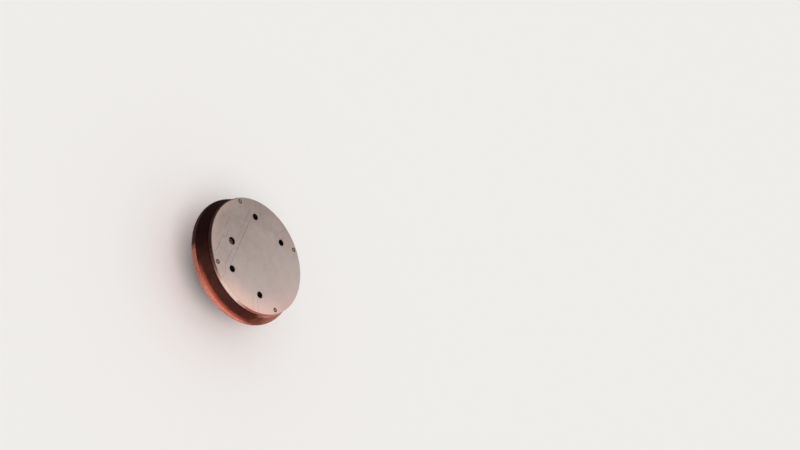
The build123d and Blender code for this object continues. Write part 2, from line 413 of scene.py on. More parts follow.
    def bump(self, height: Socket, depth: float, strength: float) -> Socket:
        """Turn a height into a bumped normal.

        Args:
            height: Height from 0 to 1.
            depth: Real depth of a height of 1.
            strength: Strength of the effect.

        Returns:
            The normal.
        """
        node = self.add("ShaderNodeBump")
        node.inputs["Strength"].default_value = strength
        node.inputs["Distance"].default_value = depth
        self.put(node.inputs["Height"], height)
        return node.outputs[0]


def shaded(colour: Colour, share: float) -> Colour:
    """A darker tone of a colour."""
    return tuple(share * part for part in colour)


@dataclass(frozen=True)
class Finish:
    """A finish that can be turned into a material."""

    name: str

    def build(self) -> bpy.types.Material:
        """Make the material."""
        raise NotImplementedError


@dataclass(frozen=True)
class CoverAblator(Finish):
    """Pale ablative face of the back cover: cloudy and granular, with pink painted glow and a painted
    highlight on one side.
    """

    face_z: float
    rim: float
    hole: Flat
    hole_r: float
    port: Flat
    port_r: float
    # Side where the face is painted lighter, in degrees anticlockwise from +X.
    light_side: float = 228.0
    dim: Colour = (0.300, 0.240, 0.220)
    face: Colour = (0.436, 0.360, 0.335)
    light: Colour = (0.520, 0.425, 0.398)
    stain: Colour = (0.215, 0.150, 0.130)
    # Pale painted highlight and two pinks of painted glow near the rim.
    painted_highlight: Colour = (0.760, 0.530, 0.465)
    pink: Colour = (0.550, 0.345, 0.298)
    pink_light: Colour = (0.640, 0.425, 0.372)
    singe_and_painted_glow: Colour = (0.040, 0.0150, 0.0120)
    soot_width: float = 0.014

    def singed_band(self) -> Flat:
        """Inner and outer radius of the dark line along the edge."""
        return (self.rim - 0.0068, self.rim - 0.0046)

    def build(self) -> bpy.types.Material:
        """Make the material.

        Returns:
            The material.
        """
        g = Graph(self.name)
        cloud = g.noise(3.4, 5.0, 0.5)
        mottle = g.noise(23.0, 7.0, 0.62)
        grain = g.noise(430.0, 3.0, 0.7)
        speck, speck_tone = g.cells(260.0)
        # Painted light: the tone rises towards the lit side, on top of its random clouds.
        lean = math.radians(self.light_side)
        side = g.total((g.x, math.cos(lean) / self.rim), (g.y, math.sin(lean) / self.rim))
        tone = g.total((side, 0.40), (cloud, 0.42), (mottle, 0.40), (grain, 0.24), (1.0, -0.03))
        colour = g.ramp(tone, (0.14, self.dim), (0.54, self.face), (0.88, self.light))
        scuff = g.noise(1.0, 5.0, 0.6, g.stretch((7.0, 120.0, 7.0), turn=33.0))
        colour = g.tint(colour, self.light, g.step(scuff, 0.58, 0.72), 0.12)
        blot = g.noise(7.5, 8.0, 0.66, g.stretch((1.0, 1.6, 1.0)))
        colour = g.tint(colour, self.stain, g.step(blot, 0.60, 0.76), 0.22)
        dark_specks = g.product(g.step(speck_tone, 0.93, 0.97), g.step(speck, 0.30, 0.12))
        colour = g.tint(colour, self.stain, dark_specks, 0.38)
        by_hole = g.step(g.radius(self.hole, folded=True), self.hole_r + self.soot_width, self.hole_r)
        by_port = g.step(g.radius(self.port), self.port_r + self.soot_width, self.port_r)
        soot_and_painted_shade = g.product(g.math("MAXIMUM", by_hole, by_port), g.spread(mottle, 0.0, 0.40))
        colour = g.mix(soot_and_painted_shade, colour, self.stain)
        radius = g.radius()
        ragged = g.total((radius, 1.0), (cloud, 0.05), (mottle, 0.03), (1.0, -0.04))
        # Painted glow and highlight: pink flushes and a pale highlight near the rim, each towards one side.
        for other, inner, outer, degrees, low, high, amount in (
                (self.pink, 0.352, 0.414, 125.0, 0.10, 0.75, 0.40),
                (self.pink_light, 0.270, 0.400, 240.0, 0.82, 0.99, 0.55),
                (self.painted_highlight, 0.255, 0.405, 195.0, 0.62, 0.98, 0.92)):
            flush = g.product(g.step(ragged, inner, outer), g.step(g.facing(degrees), low, high))
            colour = g.tint(colour, other, flush, amount)
        # A dark line just inside the rim, on one side.
        edge = g.step(g.total((radius, 1.0), (mottle, 0.003), (1.0, -0.0015)), *self.singed_band())
        edge = g.product(edge, g.step(g.facing(95.0), 0.62, 0.86))
        colour = g.tint(colour, self.singe_and_painted_glow, edge, 0.90)
        # Below the face the rim's colour takes over, with its painted light and shade; seam fillers sunk
        # about a millimetre take part of it as painted shade.
        below = g.step(g.z, self.face_z - 0.0006, self.face_z - 0.0016)
        colour = g.mix(below, colour, rim_band(g))
        height = g.total((mottle, 0.55), (grain, 0.30), (speck, 0.15))
        return g.shade(Base_Color=colour, Roughness=g.spread(mottle, 0.62, 0.88), Specular_IOR_Level=0.18,
                       Normal=g.bump(height, 0.0011, 0.55))


def rim_band(g: Graph) -> Socket:
    """Colour of the cover's upright rim as it goes round: painted shade, a painted highlight, then salmon.

    Args:
        g: Node tree of the material.

    Returns:
        The colour.
    """
    # Colours round the rim: the darkest is painted shade and the palest a painted highlight.
    soot_and_painted_shade, brown = (0.021, 0.0075, 0.0058), (0.150, 0.074, 0.062)
    painted_highlight, salmon, tan = (0.830, 0.595, 0.530), (0.390, 0.110, 0.082), (0.490, 0.245, 0.196)
    flow = g.noise(1.0, 5.0, 0.6, g.round_point(7.0, g.z, 12.0))
    mottle = g.noise(120.0, 6.0, 0.68)
    place = g.total((g.azimuth(), 1.0), (flow, 0.05), (mottle, 0.012), (1.0, -0.031))
    # Painted light round the rim: painted shade on the far side, a painted highlight near 160 to 179 degrees,
    # then salmon and tan.
    base_and_painted_light = g.round_ramp(place, (0.0, soot_and_painted_shade), (128.0, soot_and_painted_shade), (143.0, brown), (160.0, painted_highlight),
                         (179.0, painted_highlight), (192.0, salmon), (211.0, salmon), (231.0, tan), (285.0, tan),
                         (325.0, brown), (360.0, soot_and_painted_shade))
    return g.tint(base_and_painted_light, brown, g.step(mottle, 0.44, 0.72), 0.30)


@dataclass(frozen=True)
class CoverEdge(Finish):
    """Rim of the back cover's frame, with fine lines from turning, painted light and shade round it, and its
    plain brown underside.
    """

    low_z: float
    rim: float
    under: Colour = (0.235, 0.150, 0.118)
    under_dark: Colour = (0.120, 0.076, 0.060)
    # Painted shade at the rim's foot.
    foot: Colour = (0.034, 0.0090, 0.0065)

    def build(self) -> bpy.types.Material:
        """Make the material.

        Returns:
            The material.
        """
        g = Graph(self.name)
        cloud = g.noise(14.0, 6.0, 0.6)
        grain = g.noise(380.0, 4.0, 0.65)
        turned = g.noise(1.0, 2.0, 0.5, g.round_point(1.5, g.math("ADD", g.z, g.radius()), 1300.0))
        under = g.mix(g.step(g.total((cloud, 0.6), (grain, 0.4)), 0.36, 0.64), self.under_dark, self.under)
        # Painted shade: the rim darkens towards its foot, over the gap to the wall, on one side.
        foot = g.step(g.z, self.low_z + 0.0085, self.low_z + 0.0020)
        foot = g.product(foot, g.step(g.facing(125.0), 0.42, 0.80))
        band = g.tint(rim_band(g), self.foot, foot, 0.78)
        colour = g.mix(g.step(g.radius(), self.rim - 0.004, self.rim - 0.001), under, band)
        return g.shade(Base_Color=colour, Roughness=g.spread(cloud, 0.66, 0.90), Specular_IOR_Level=0.04,
                       Normal=g.bump(g.total((turned, 0.5), (grain, 0.5)), 0.0005, 0.5))


@dataclass(frozen=True)
class CharredWall(Finish):
    """Hoop-wound side wall of satin char: painted shade on one side, brown, then painted coppery reflection
    on the other.
    """

    foot_z: float
    top_z: float
    char: Colour = (0.0110, 0.0036, 0.0025)
    brown: Colour = (0.062, 0.0190, 0.0145)
    umber: Colour = (0.086, 0.0290, 0.0225)
    rust: Colour = (0.105, 0.0240, 0.0160)
    # Painted coppery reflection, pale painted highlight and orange painted glow.
    copper: Colour = (0.390, 0.120, 0.083)
    pale: Colour = (0.560, 0.255, 0.195)
    singe_and_painted_glow: Colour = (0.430, 0.100, 0.060)

    def build(self) -> bpy.types.Material:
        """Make the material.

        Returns:
            The material.
        """
        g = Graph(self.name)
        flow = g.noise(1.0, 6.0, 0.58, g.round_point(9.0, g.z, 9.0))
        patch = g.noise(16.0, 7.0, 0.64)
        grain = g.noise(330.0, 4.0, 0.66)
        hoops = g.noise(1.0, 3.0, 0.5, g.round_point(2.2, g.z, 420.0))
        streak = g.noise(1.0, 6.0, 0.64, g.round_point(64.0, g.z, 7.0))
        scratch = g.noise(1.0, 3.0, 0.5, g.round_point(9.0, g.z, 900.0))
        # Round the axis, partly char and partly painted light: painted shade on the dark side, painted
        # coppery reflection and glow on the lit side.
        place = g.total((g.azimuth(), 1.0), (flow, 0.052), (patch, 0.030), (1.0, -0.041))
        char_and_painted_light = g.round_ramp(place, (0.0, self.char), (112.0, self.char), (142.0, self.brown),
                            (166.0, self.umber), (192.0, self.brown), (206.0, self.rust),
                            (222.0, self.copper), (246.0, self.pale), (282.0, self.pale),
                            (310.0, self.rust), (336.0, self.brown), (360.0, self.char))
        worn = g.step(g.total((patch, 0.45), (grain, 0.30), (hoops, 0.25)), 0.40, 0.66)
        char_tint_and_painted_shade = g.mix(0.42, char_and_painted_light, self.char)
        colour = g.mix(worn, char_tint_and_painted_shade, char_and_painted_light)
        # Painted glow: the lower part of the wall turns orange on the lit side.
        low = g.total((g.z, 1.0), (patch, 0.016), (flow, 0.012), (streak, 0.018), (1.0, -0.018))
        foot = g.step(low, self.foot_z + 0.034, self.foot_z + 0.007)
        foot = g.product(foot, g.step(g.facing(171.0), 0.74, 0.98))
        colour = g.tint(colour, self.singe_and_painted_glow, foot, 0.97)
        # Painted highlight: the top of the wall turns pale on the lit side.
        high = g.total((g.z, 1.0), (patch, 0.012), (streak, 0.024), (1.0, -0.018))
        lip = g.step(high, self.top_z - 0.022, self.top_z - 0.003)
        lip = g.product(lip, g.step(g.facing(235.0), 0.88, 0.97))
        colour = g.tint(colour, self.pale, lip, 0.75)
        colour = g.tint(colour, self.rust, g.step(scratch, 0.66, 0.74), 0.25)
        shine = g.total((hoops, 0.18), (patch, 0.26), (scratch, 0.10), (1.0, 0.46))
        height = g.total((hoops, 0.55), (grain, 0.27), (scratch, 0.18))
        return g.shade(Base_Color=colour, Roughness=shine, Specular_IOR_Level=0.015,
                       Normal=g.bump(height, 0.0006, 0.45))


@dataclass(frozen=True)
class ShieldTile(Finish):
    """Granular shield material: salmon at the shoulder, charred towards the nose, with painted shade on one
    side.
    """

    shoulder_z: float = 0.26
    nose_z: float = 0.03
    # Salmon and tan are the tiles' colour, raised brighter as painted glow of the shoulder.
    salmon: Colour = (0.560, 0.170, 0.112)
    tan: Colour = (0.760, 0.255, 0.172)
    brick: Colour = (0.330, 0.088, 0.058)
    brown: Colour = (0.130, 0.046, 0.031)
    char: Colour = (0.026, 0.017, 0.015)

    def build(self) -> bpy.types.Material:
        """Make the material.

        Returns:
            The material.
        """
        g = Graph(self.name)
        distance, tone = g.cells(300.0)
        big_distance, big_tone = g.cells(95.0)
        grain = g.noise(160.0, 5.0, 0.65)
        cloud = g.noise(6.0, 6.0, 0.58)
        flow = g.noise(1.0, 6.0, 0.62, g.round_point(20.0, g.z, 3.0))
        fine = g.noise(1.0, 5.0, 0.6, g.round_point(70.0, g.z, 9.0))
        mix = g.total((tone, 0.34), (big_tone, 0.22), (grain, 0.44))
        base_and_painted_light = g.ramp(mix, (0.18, self.brick), (0.40, self.salmon), (0.66, self.tan))
        burnt = g.ramp(mix, (0.25, self.char), (0.62, self.brown), (0.95, self.brick))
        height = g.step(g.z, self.shoulder_z, self.nose_z)
        amount = g.total((height, 0.80), (flow, 0.62), (fine, 0.24), (cloud, 0.40), (1.0, -0.48))
        colour = g.mix(g.step(amount, 0.28, 0.86), base_and_painted_light, burnt)
        # Painted shade: the shoulder darkens round the side away from the light; the four tones below are its
        # levels.
        place = g.total((g.azimuth(), 1.0), (flow, 0.030), (fine, 0.020), (1.0, -0.025))
        unshaded, thin = (1.0, 1.0, 1.0), (0.60, 0.56, 0.55)
        dull, char_tint_and_painted_shade = (0.34, 0.30, 0.29), (0.035, 0.035, 0.04)
        soot_and_painted_shade = g.round_ramp(place, (0.0, char_tint_and_painted_shade), (116.0, char_tint_and_painted_shade), (123.0, thin), (141.0, thin), (160.0, unshaded),
                            (199.0, unshaded), (212.0, dull), (290.0, dull), (330.0, char_tint_and_painted_shade), (360.0, char_tint_and_painted_shade))
        ragged = g.total((g.z, 1.0), (flow, 0.10), (fine, 0.06), (cloud, 0.05), (1.0, -0.105))
        colour = g.mix(g.step(ragged, 0.205, 0.272), colour, soot_and_painted_shade, "MULTIPLY")
        relief = g.total((distance, -0.38), (big_distance, -0.22), (grain, 0.44), (flow, 0.18), (1.0, 0.3))
        return g.shade(Base_Color=colour, Roughness=g.spread(grain, 0.70, 0.98), Specular_IOR_Level=0.20,
                       Normal=g.bump(relief, 0.0021, 0.6))


@dataclass(frozen=True)
class SoftFiller(Finish):
    """Silicone bead or rubber, with a skin that collects dust."""

    body: Colour = (0.050, 0.022, 0.017)
    dust: Colour = (0.110, 0.060, 0.048)
    roughness: float = 0.62

    def build(self) -> bpy.types.Material:
        """Make the material.

        Returns:
            The material.
        """
        g = Graph(self.name)
        cloud = g.noise(42.0, 6.0, 0.62)
        grain = g.noise(900.0, 3.0, 0.6)
        colour = g.mix(g.step(g.total((cloud, 0.75), (grain, 0.25)), 0.45, 0.75), self.body, self.dust)
        rough = g.spread(cloud, self.roughness - 0.1, self.roughness + 0.2)
        return g.shade(Base_Color=colour, Roughness=rough, Specular_IOR_Level=0.3,
                       Normal=g.bump(g.total((cloud, 0.6), (grain, 0.4)), 0.0004, 0.5))


@dataclass(frozen=True)
class SootAndShadeLining(Finish):
    """Nearly black lining of the holes, partly sooted and partly painted shade of their depth."""

    body: Colour = (0.0060, 0.0026, 0.0019)
    lift: Colour = (0.0170, 0.0072, 0.0054)

    def build(self) -> bpy.types.Material:
        """Make the material.

        Returns:
            The material.
        """
        g = Graph(self.name)
        soot_and_painted_shade = g.noise(70.0, 7.0, 0.65)
        colour = g.mix(g.step(soot_and_painted_shade, 0.40, 0.70), self.body, self.lift)
        return g.shade(Base_Color=colour, Roughness=g.spread(soot_and_painted_shade, 0.80, 1.0), Specular_IOR_Level=0.06,
                       Normal=g.bump(soot_and_painted_shade, 0.0006, 0.5))


class Lay(Enum):
    """Direction of the fine lines that machining leaves in a metal."""

    ALONG_X = (9.0, 900.0, 900.0)
    ALONG_Y = (900.0, 9.0, 900.0)
    ALL_WAYS = (420.0, 420.0, 420.0)
    ROUND = (0.0, 0.0, 0.0)


@dataclass(frozen=True)
class WorkedMetal(Finish):
    """Bare or anodised metal with machining lines, smears and a few scratches."""

    body: Colour = (0.56, 0.55, 0.54)
    smear: Colour = (0.40, 0.38, 0.36)
    roughness: float = 0.34
    metallic: float = 1.0
    lay: Lay = Lay.ALL_WAYS

    def build(self) -> bpy.types.Material:
        """Make the material.

        Returns:
            The material.
        """
        g = Graph(self.name)
        if self.lay is Lay.ROUND:
            lines = g.noise(1.0, 3.0, 0.6, g.round_point(1.2, g.math("ADD", g.radius(), g.z), 1100.0))
        else:
            lines = g.noise(1.0, 3.0, 0.6, g.stretch(self.lay.value))
        smear = g.noise(13.0, 7.0, 0.62)
        nick = g.noise(1.0, 2.0, 0.5, g.stretch((14.0, 620.0, 620.0), turn=24.0))
        colour = g.mix(g.step(g.total((smear, 0.7), (lines, 0.3)), 0.40, 0.72), self.body, self.smear)
        marks = g.step(nick, 0.70, 0.76)
        rough = g.total((smear, 0.22), (lines, 0.16), (marks, 0.12), (1.0, self.roughness - 0.19))
        return g.shade(Base_Color=colour, Metallic=self.metallic, Roughness=rough,
                       Normal=g.bump(g.total((lines, 0.7), (marks, -0.3), (1.0, 0.3)), 0.00022, 0.5))


@dataclass(frozen=True)
class ReleaseHead(Finish):
    """Head of a release fitting: dull alloy in the middle, darkened towards its rim as painted shade of its
    groove.
    """

    centres: tuple[Flat, ...]
    body: Colour = (0.47, 0.365, 0.325)
    # Painted shade of the groove round the head.
    painted_groove_shade: Colour = (0.088, 0.056, 0.046)
    clean_r: float = 0.0042
    dark_r: float = 0.0082

    def build(self) -> bpy.types.Material:
        """Make the material.

        Returns:
            The material.
        """
        g = Graph(self.name)
        nearest = g.radius(self.centres[0])
        for centre in self.centres[1:]:
            nearest = g.math("MINIMUM", nearest, g.radius(centre))
        smear = g.noise(160.0, 6.0, 0.62)
        turned = g.noise(1.0, 2.0, 0.5, g.round_point(0.0, nearest, 2600.0))
        # Painted shade: the head darkens towards its rim, for the groove round it.
        dark = g.step(g.total((nearest, 1.0), (smear, 0.0016), (1.0, -0.0008)), self.clean_r, self.dark_r)
        middle_tone = g.mix(g.step(smear, 0.44, 0.70), self.body, shaded(self.body, 0.6))
        return g.shade(Base_Color=g.mix(dark, middle_tone, self.painted_groove_shade), Metallic=0.15,
                       Roughness=g.spread(smear, 0.46, 0.74), Specular_IOR_Level=0.20,
                       Normal=g.bump(g.total((turned, 0.6), (smear, 0.4)), 0.0003, 0.5))


@dataclass(frozen=True)
class HardPaint(Finish):
    """Thin satin paint on metal, worn and dusty in places."""

    body: Colour = (0.045, 0.047, 0.050)
    worn: Colour = (0.110, 0.108, 0.104)
    roughness: float = 0.46

    def build(self) -> bpy.types.Material:
        """Make the material.

        Returns:
            The material.
        """
        g = Graph(self.name)
        peel = g.noise(520.0, 3.0, 0.5)
        cloud = g.noise(16.0, 7.0, 0.64)
        rub = g.noise(1.0, 4.0, 0.6, g.stretch((22.0, 240.0, 90.0), turn=-20.0))
        wear = g.product(g.step(cloud, 0.48, 0.72), g.step(rub, 0.46, 0.66))
        colour = g.mix(wear, self.body, self.worn)
        rough = g.spread(cloud, self.roughness - 0.10, self.roughness + 0.16)
        return g.shade(Base_Color=colour, Roughness=rough, Specular_IOR_Level=0.4,
                       Normal=g.bump(g.total((peel, 0.7), (rub, 0.3)), 0.00028, 0.4))


@dataclass(frozen=True)
class WovenCloth(Finish):
    """Plain weave of the parachute's bag and its webbing."""

    body: Colour = (0.520, 0.205, 0.070)
    thread: Colour = (0.640, 0.300, 0.120)
    dirt: Colour = (0.250, 0.105, 0.048)
    pitch: float = 0.0011

    def build(self) -> bpy.types.Material:
        """Make the material.

        Returns:
            The material.
        """
        g = Graph(self.name)
        waves = [g.math("SINE", g.product(axis, math.tau / self.pitch)) for axis in (g.x, g.y, g.z)]
        weave = g.product(g.math("ADD", waves[0], waves[2]), waves[1])
        weave = g.math("MULTIPLY_ADD", weave, 0.25, 0.5)
        cloud = g.noise(24.0, 6.0, 0.6)
        colour = g.mix(g.total((weave, 0.55), (cloud, 0.45)), self.body, self.thread)
        colour = g.tint(colour, self.dirt, g.step(cloud, 0.50, 0.78), 0.7)
        return g.shade(Base_Color=colour, Roughness=g.spread(cloud, 0.74, 0.95), Sheen_Weight=0.35,
                       Sheen_Roughness=0.5, Normal=g.bump(g.total((weave, 0.6), (cloud, 0.4)), 0.0005, 0.6))


class Ring:
    """Rings of points that shapes are skinned over."""

    @staticmethod
    def circle(radius: float, z: float, count: int) -> list[Vector]:
        """Points on a circle.

        Args:
            radius: Radius of the circle.
            z: Height of the circle.
            count: Number of points.

        Returns:
            The points, anticlockwise from +X.
        """
        return [Vector((radius * math.cos(a), radius * math.sin(a), z))
                for a in (math.tau * index / count for index in range(count))]

    @staticmethod
    def hexagon(half_width: float, z: float, count: int) -> list[Vector]:
        """Points on a hexagon, at the same angles as a circle's.

        Args:
            half_width: Half the width across flats.
            z: Height of the hexagon.
            count: Number of points, a multiple of 12.

        Returns:
            The points.
        """
        points = []
        for index in range(count):
            a = math.tau * index / count
            off = (a % (math.pi / 3)) - math.pi / 6
            r = half_width / math.cos(off)
            points.append(Vector((r * math.cos(a), r * math.sin(a), z)))
        return points

    @staticmethod
    def rounded(width: float, depth: float, corner: float, z: float, per_corner: int = 5) -> list[Vector]:
        """Points on a rectangle with round corners.

        Args:
            width: Size along X.
            depth: Size along Y.
            corner: Radius of the corners.
            z: Height of the rectangle.
            per_corner: Points on each corner.

        Returns:
            The points, anticlockwise.
        """
        points = []
        for quarter, (sx, sy) in enumerate(((1, 1), (-1, 1), (-1, -1), (1, -1))):
            cx, cy = sx * (width / 2 - corner), sy * (depth / 2 - corner)
            for index in range(per_corner):
                a = math.pi / 2 * (quarter + index / (per_corner - 1))
                points.append(Vector((cx + corner * math.cos(a), cy + corner * math.sin(a), z)))
        return points


class Shape:
    """Mesh under construction, in the part's own frame."""

    def __init__(self) -> None:
        """Start an empty mesh."""
        self.mesh = bmesh.new()

    def skin(self, rings: Iterable[Sequence[Vector]], place: Matrix = Matrix(), closed: bool = True,
             caps: bool = True) -> None:
        """Join rings of equal length one after another.

        Args:
            rings: The rings of points.
            place: Where the shape goes.
            closed: True if each ring closes on itself.
            caps: True to fill the first and last ring.
        """
        made = [[self.mesh.verts.new(place @ point) for point in ring] for ring in rings]
        count = len(made[0])
        for low, high in zip(made, made[1:]):
            for index in range(count if closed else count - 1):
                after = (index + 1) % count
                self.mesh.faces.new((low[index], low[after], high[after], high[index]))
        if caps:
            self.mesh.faces.new(list(reversed(made[0])))
            self.mesh.faces.new(made[-1])

    def turn(self, outline: Sequence[Flat], place: Matrix = Matrix(), count: int = 48,
             closed: bool = False) -> None:
        """Turn an outline of (r, z) points about the local Z axis.

        Args:
            outline: The outline's points.
            place: Where the shape goes.
            count: Points round the axis.
            closed: True if the outline closes on itself.
        """
        points = [*outline, outline[0]] if closed else outline
        self.skin([Ring.circle(r, z, count) for r, z in points], place, caps=False)

    def hoop(self, radius: float, thick: float, place: Matrix) -> None:
        """Add a ring of round wire.

        Args:
            radius: Radius of the ring.
            thick: Radius of the wire.
            place: Where its middle is.
        """
        section = Ring.circle(thick, 0.0, 10)
        self.turn([(radius + point.x, point.y) for point in section], place, 28, closed=True)

    def tube(self, line: Sequence[Vector], thick: float, place: Matrix = Matrix()) -> None:
        """Add a round tube along a line.

        Args:
            line: The line's points.
            thick: Radius of the tube.
            place: Turn and shift of the line.
        """
        rings = []
        for index, point in enumerate(line):
            way = line[min(index + 1, len(line) - 1)] - line[max(index - 1, 0)]
            turn = along(point, way.normalized())
            rings.append([place @ turn @ spot for spot in Ring.circle(thick, 0.0, 8)])
        self.skin(rings)

    def data(self, name: str) -> bpy.types.Mesh:
        """Weld the points that meet, turn all faces outwards and end the construction.

        Args:
            name: Name of the mesh.

        Returns:
            The finished mesh.
        """
        bmesh.ops.remove_doubles(self.mesh, verts=self.mesh.verts, dist=WELD)
        bmesh.ops.recalc_face_normals(self.mesh, faces=self.mesh.faces)
        made = bpy.data.meshes.new(name)
        self.mesh.to_mesh(made)
        self.mesh.free()
        return made

    def piece(self, name: str, material: bpy.types.Material, body: Body, slot: Slot,
              crease: float = 35.0) -> bpy.types.Object:
        """Finish the mesh as a piece that rides on a body.

        Args:
            name: Name of the piece.
            material: Its material.
            body: The body that carries it.
            slot: Material slot of the record that it belongs to. Not used.
            crease: Edges sharper than this many degrees stay crisp.

        Returns:
            The piece.
        """
        data = self.data(name)
        data.materials.append(material)
        data.shade_smooth()
        data.set_sharp_from_angle(angle=math.radians(crease))
        made = add_object(name, data)
        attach(made, body.value)
        log.info("%s: %d faces on %s", name, len(data.polygons), body.value)
        return made


def add_object(name: str, data: bpy.types.ID) -> bpy.types.Object:
    """Put an object into the scene.

    Args:
        name: Name of the object.
        data: Its mesh, lamp or camera.

    Returns:
        The object.
    """
    made = bpy.data.objects.new(name, data)
    bpy.context.scene.collection.objects.link(made)
    return made


def evaluated(made: bpy.types.Object) -> bpy.types.Mesh:
    """New mesh of an object as its modifiers leave it."""
    return bpy.data.meshes.new_from_object(made.evaluated_get(bpy.context.evaluated_depsgraph_get()))


def upright(x: float, y: float, z: float) -> Matrix:
    """Place for a shape that stands up at a point."""
    return Matrix.Translation((x, y, z))


def along(origin: Vector, axis: Vector) -> Matrix:
    """Place for a shape whose local Z axis points another way.

    Args:
        origin: Where it stands.
        axis: Where its Z axis points.

    Returns:
        The place.
    """
    return Matrix.Translation(origin) @ axis.to_track_quat("Z", "Y").to_matrix().to_4x4()


def centre_of(node: str) -> Flat:
    """Middle of a CAD node, seen from above."""
    low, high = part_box(node)
    return ((low.x + high.x) / 2, (low.y + high.y) / 2)


def radius_of(node: str) -> float:
    """Radius of a round, upright CAD node."""
    low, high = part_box(node)
    return (high.x - low.x) / 2


def numbered(stem: str) -> list[str]:
    """Names of the four CAD nodes that share a stem."""
    return [f"{stem}_{index}" for index in range(1, 5)]


def swapped(pair: Flat, swap: bool) -> Flat:
    """A pair of lengths, the other way round where asked."""
    return (pair[1], pair[0]) if swap else pair


def polar(radius: float, degrees: float) -> Flat:
    """Point on a circle about the capsule's axis."""
    return (radius * math.cos(math.radians(degrees)), radius * math.sin(math.radians(degrees)))


@dataclass(frozen=True)
class Screw:
    """Screw head with a hexagon recess."""

    head_r: float = 0.0040
    head_h: float = 0.0035
    drive: float = 0.0018
    recess: float = 0.0020
    edge: float = 0.0006
    count: int = 24

    def put(self, shape: Shape, place: Matrix) -> None:
        """Add the head to a shape, its seat at the place's origin.

        Args:
            shape: Shape that takes the head.
            place: Where it sits and points.
        """
        top = self.head_h
        shape.skin([
            Ring.circle(self.head_r, 0.0, self.count),
            Ring.circle(self.head_r, top - self.edge, self.count),
            Ring.circle(self.head_r - self.edge, top, self.count),
            Ring.hexagon(self.drive, top, self.count),
            Ring.hexagon(self.drive, top - self.recess, self.count),
        ], place)

    def put_with_washer(self, shape: Shape, place: Matrix, washer_r: float, washer_t: float = 0.0010) -> None:
        """Add the head on a washer.

        Args:
            shape: Shape that takes both.
            place: Where the washer sits.
            washer_r: Radius of the washer.
            washer_t: Thickness of the washer.
        """
        shape.turn([(0.0, 0.0), (washer_r, 0.0), (washer_r, washer_t), (0.0, washer_t)], place, self.count)
        self.put(shape, place @ Matrix.Translation((0.0, 0.0, washer_t)))


@dataclass
class Studio:
    """Plain pale floor and backdrop, even sky and one broad lamp."""

    floor_half: float = 250.0
    floor_colour: Colour = (0.89, 0.885, 0.88)
    backdrop: Colour = (0.855, 0.85, 0.845)
    sky_colour: Colour = (1.0, 0.99, 0.98)
    sky_strength: float = 0.68
    key_strength: float = 1.20
    key_angle: float = 40.0
    key_from: tuple[float, float, float] = (-0.62, 0.12, 0.76)
    key_colour: Colour = (1.0, 0.97, 0.94)

    def sky(self) -> None:
        """Fill the world with an even light, shown to the camera and to gloss as the pale backdrop."""
        world = bpy.data.worlds.new("studio_sky")
        bpy.context.scene.world = world
        world.use_nodes = True
        tree = world.node_tree
        light = tree.nodes["Background"]
        light.inputs["Color"].default_value = (*self.sky_colour, 1.0)
        light.inputs["Strength"].default_value = self.sky_strength
        pale = tree.nodes.new("ShaderNodeBackground")
        pale.inputs["Color"].default_value = (*self.backdrop, 1.0)
        path = tree.nodes.new("ShaderNodeLightPath")
        seen: Socket = path.outputs["Is Camera Ray"]
        for name in ("Is Glossy Ray", "Is Transmission Ray"):
            either = tree.nodes.new("ShaderNodeMath")
            either.operation = "MAXIMUM"
            tree.links.new(seen, either.inputs[0])
            tree.links.new(path.outputs[name], either.inputs[1])
            seen = either.outputs[0]
        choice = tree.nodes.new("ShaderNodeMixShader")
        tree.links.new(seen, choice.inputs[0])
        tree.links.new(light.outputs[0], choice.inputs[1])
        tree.links.new(pale.outputs[0], choice.inputs[2])
        tree.links.new(choice.outputs[0], tree.nodes["World Output"].inputs["Surface"])

    def lamp(self) -> None:
        """Add the broad key lamp."""
        key = bpy.data.lights.new("key", "SUN")
        key.energy = self.key_strength
        key.angle = math.radians(self.key_angle)
        key.color = self.key_colour
        lamp = add_object("key", key)
        lamp.location = self.key_from
        lamp.rotation_euler = (-Vector(self.key_from)).to_track_quat("-Z", "Y").to_euler()

    def floor(self) -> None:
        """Lay the floor that the capsule stands on."""
        g = Graph("studio_floor")
        grain = g.noise(3.0, 4.0, 0.5)
        pale = g.mix(g.spread(grain, 0.0, 0.06), self.floor_colour, shaded(self.floor_colour, 0.94))
        material = g.shade(Base_Color=pale, Roughness=0.9, Specular_IOR_Level=0.1)
        h = self.floor_half
        data = bpy.data.meshes.new("floor")
        data.from_pydata([(-h, -h, 0.0), (h, -h, 0.0), (h, h, 0.0), (-h, h, 0.0)], [], [(0, 1, 2, 3)])
        data.materials.append(material)
        add_object("floor", data)

    def build(self) -> None:
        """Build the whole studio."""
        bpy.context.scene.view_settings.view_transform = "Standard"
        self.sky()
        self.lamp()
        self.floor()
        log.info("studio: sky %.2f, key %.2f", self.sky_strength, self.key_strength)


@dataclass
class PhotoCamera:
    """Camera at the photograph's viewing angle, from a fit to the back cover's edge, holes and fittings."""

    lens: float = 47.25
    sensor: float = 36.0
    position: tuple[float, float, float] = (-4.7016, 2.8023, 5.0103)
    right: tuple[float, float, float] = (0.1993, -0.5974, 0.7768)
    forward: tuple[float, float, float] = (0.7105, -0.4578, -0.5344)
    far: float = 1000.0

    def build(self) -> None:
        """Create the camera and make it the scene's own."""
        data = bpy.data.cameras.new("photo_camera")
        data.lens = self.lens
        data.sensor_width = self.sensor
        data.clip_end = self.far
        back = -Vector(self.forward).normalized()
        right = Vector(self.right)
        right = (right - back * right.dot(back)).normalized()
        turn = Matrix((right, back.cross(right), back)).transposed()
        camera = add_object("photo_camera", data)
        camera.matrix_world = Matrix.Translation(self.position) @ turn.to_4x4()
        bpy.context.scene.camera = camera
        log.info("camera: lens %.2f mm at %s", self.lens, self.position)


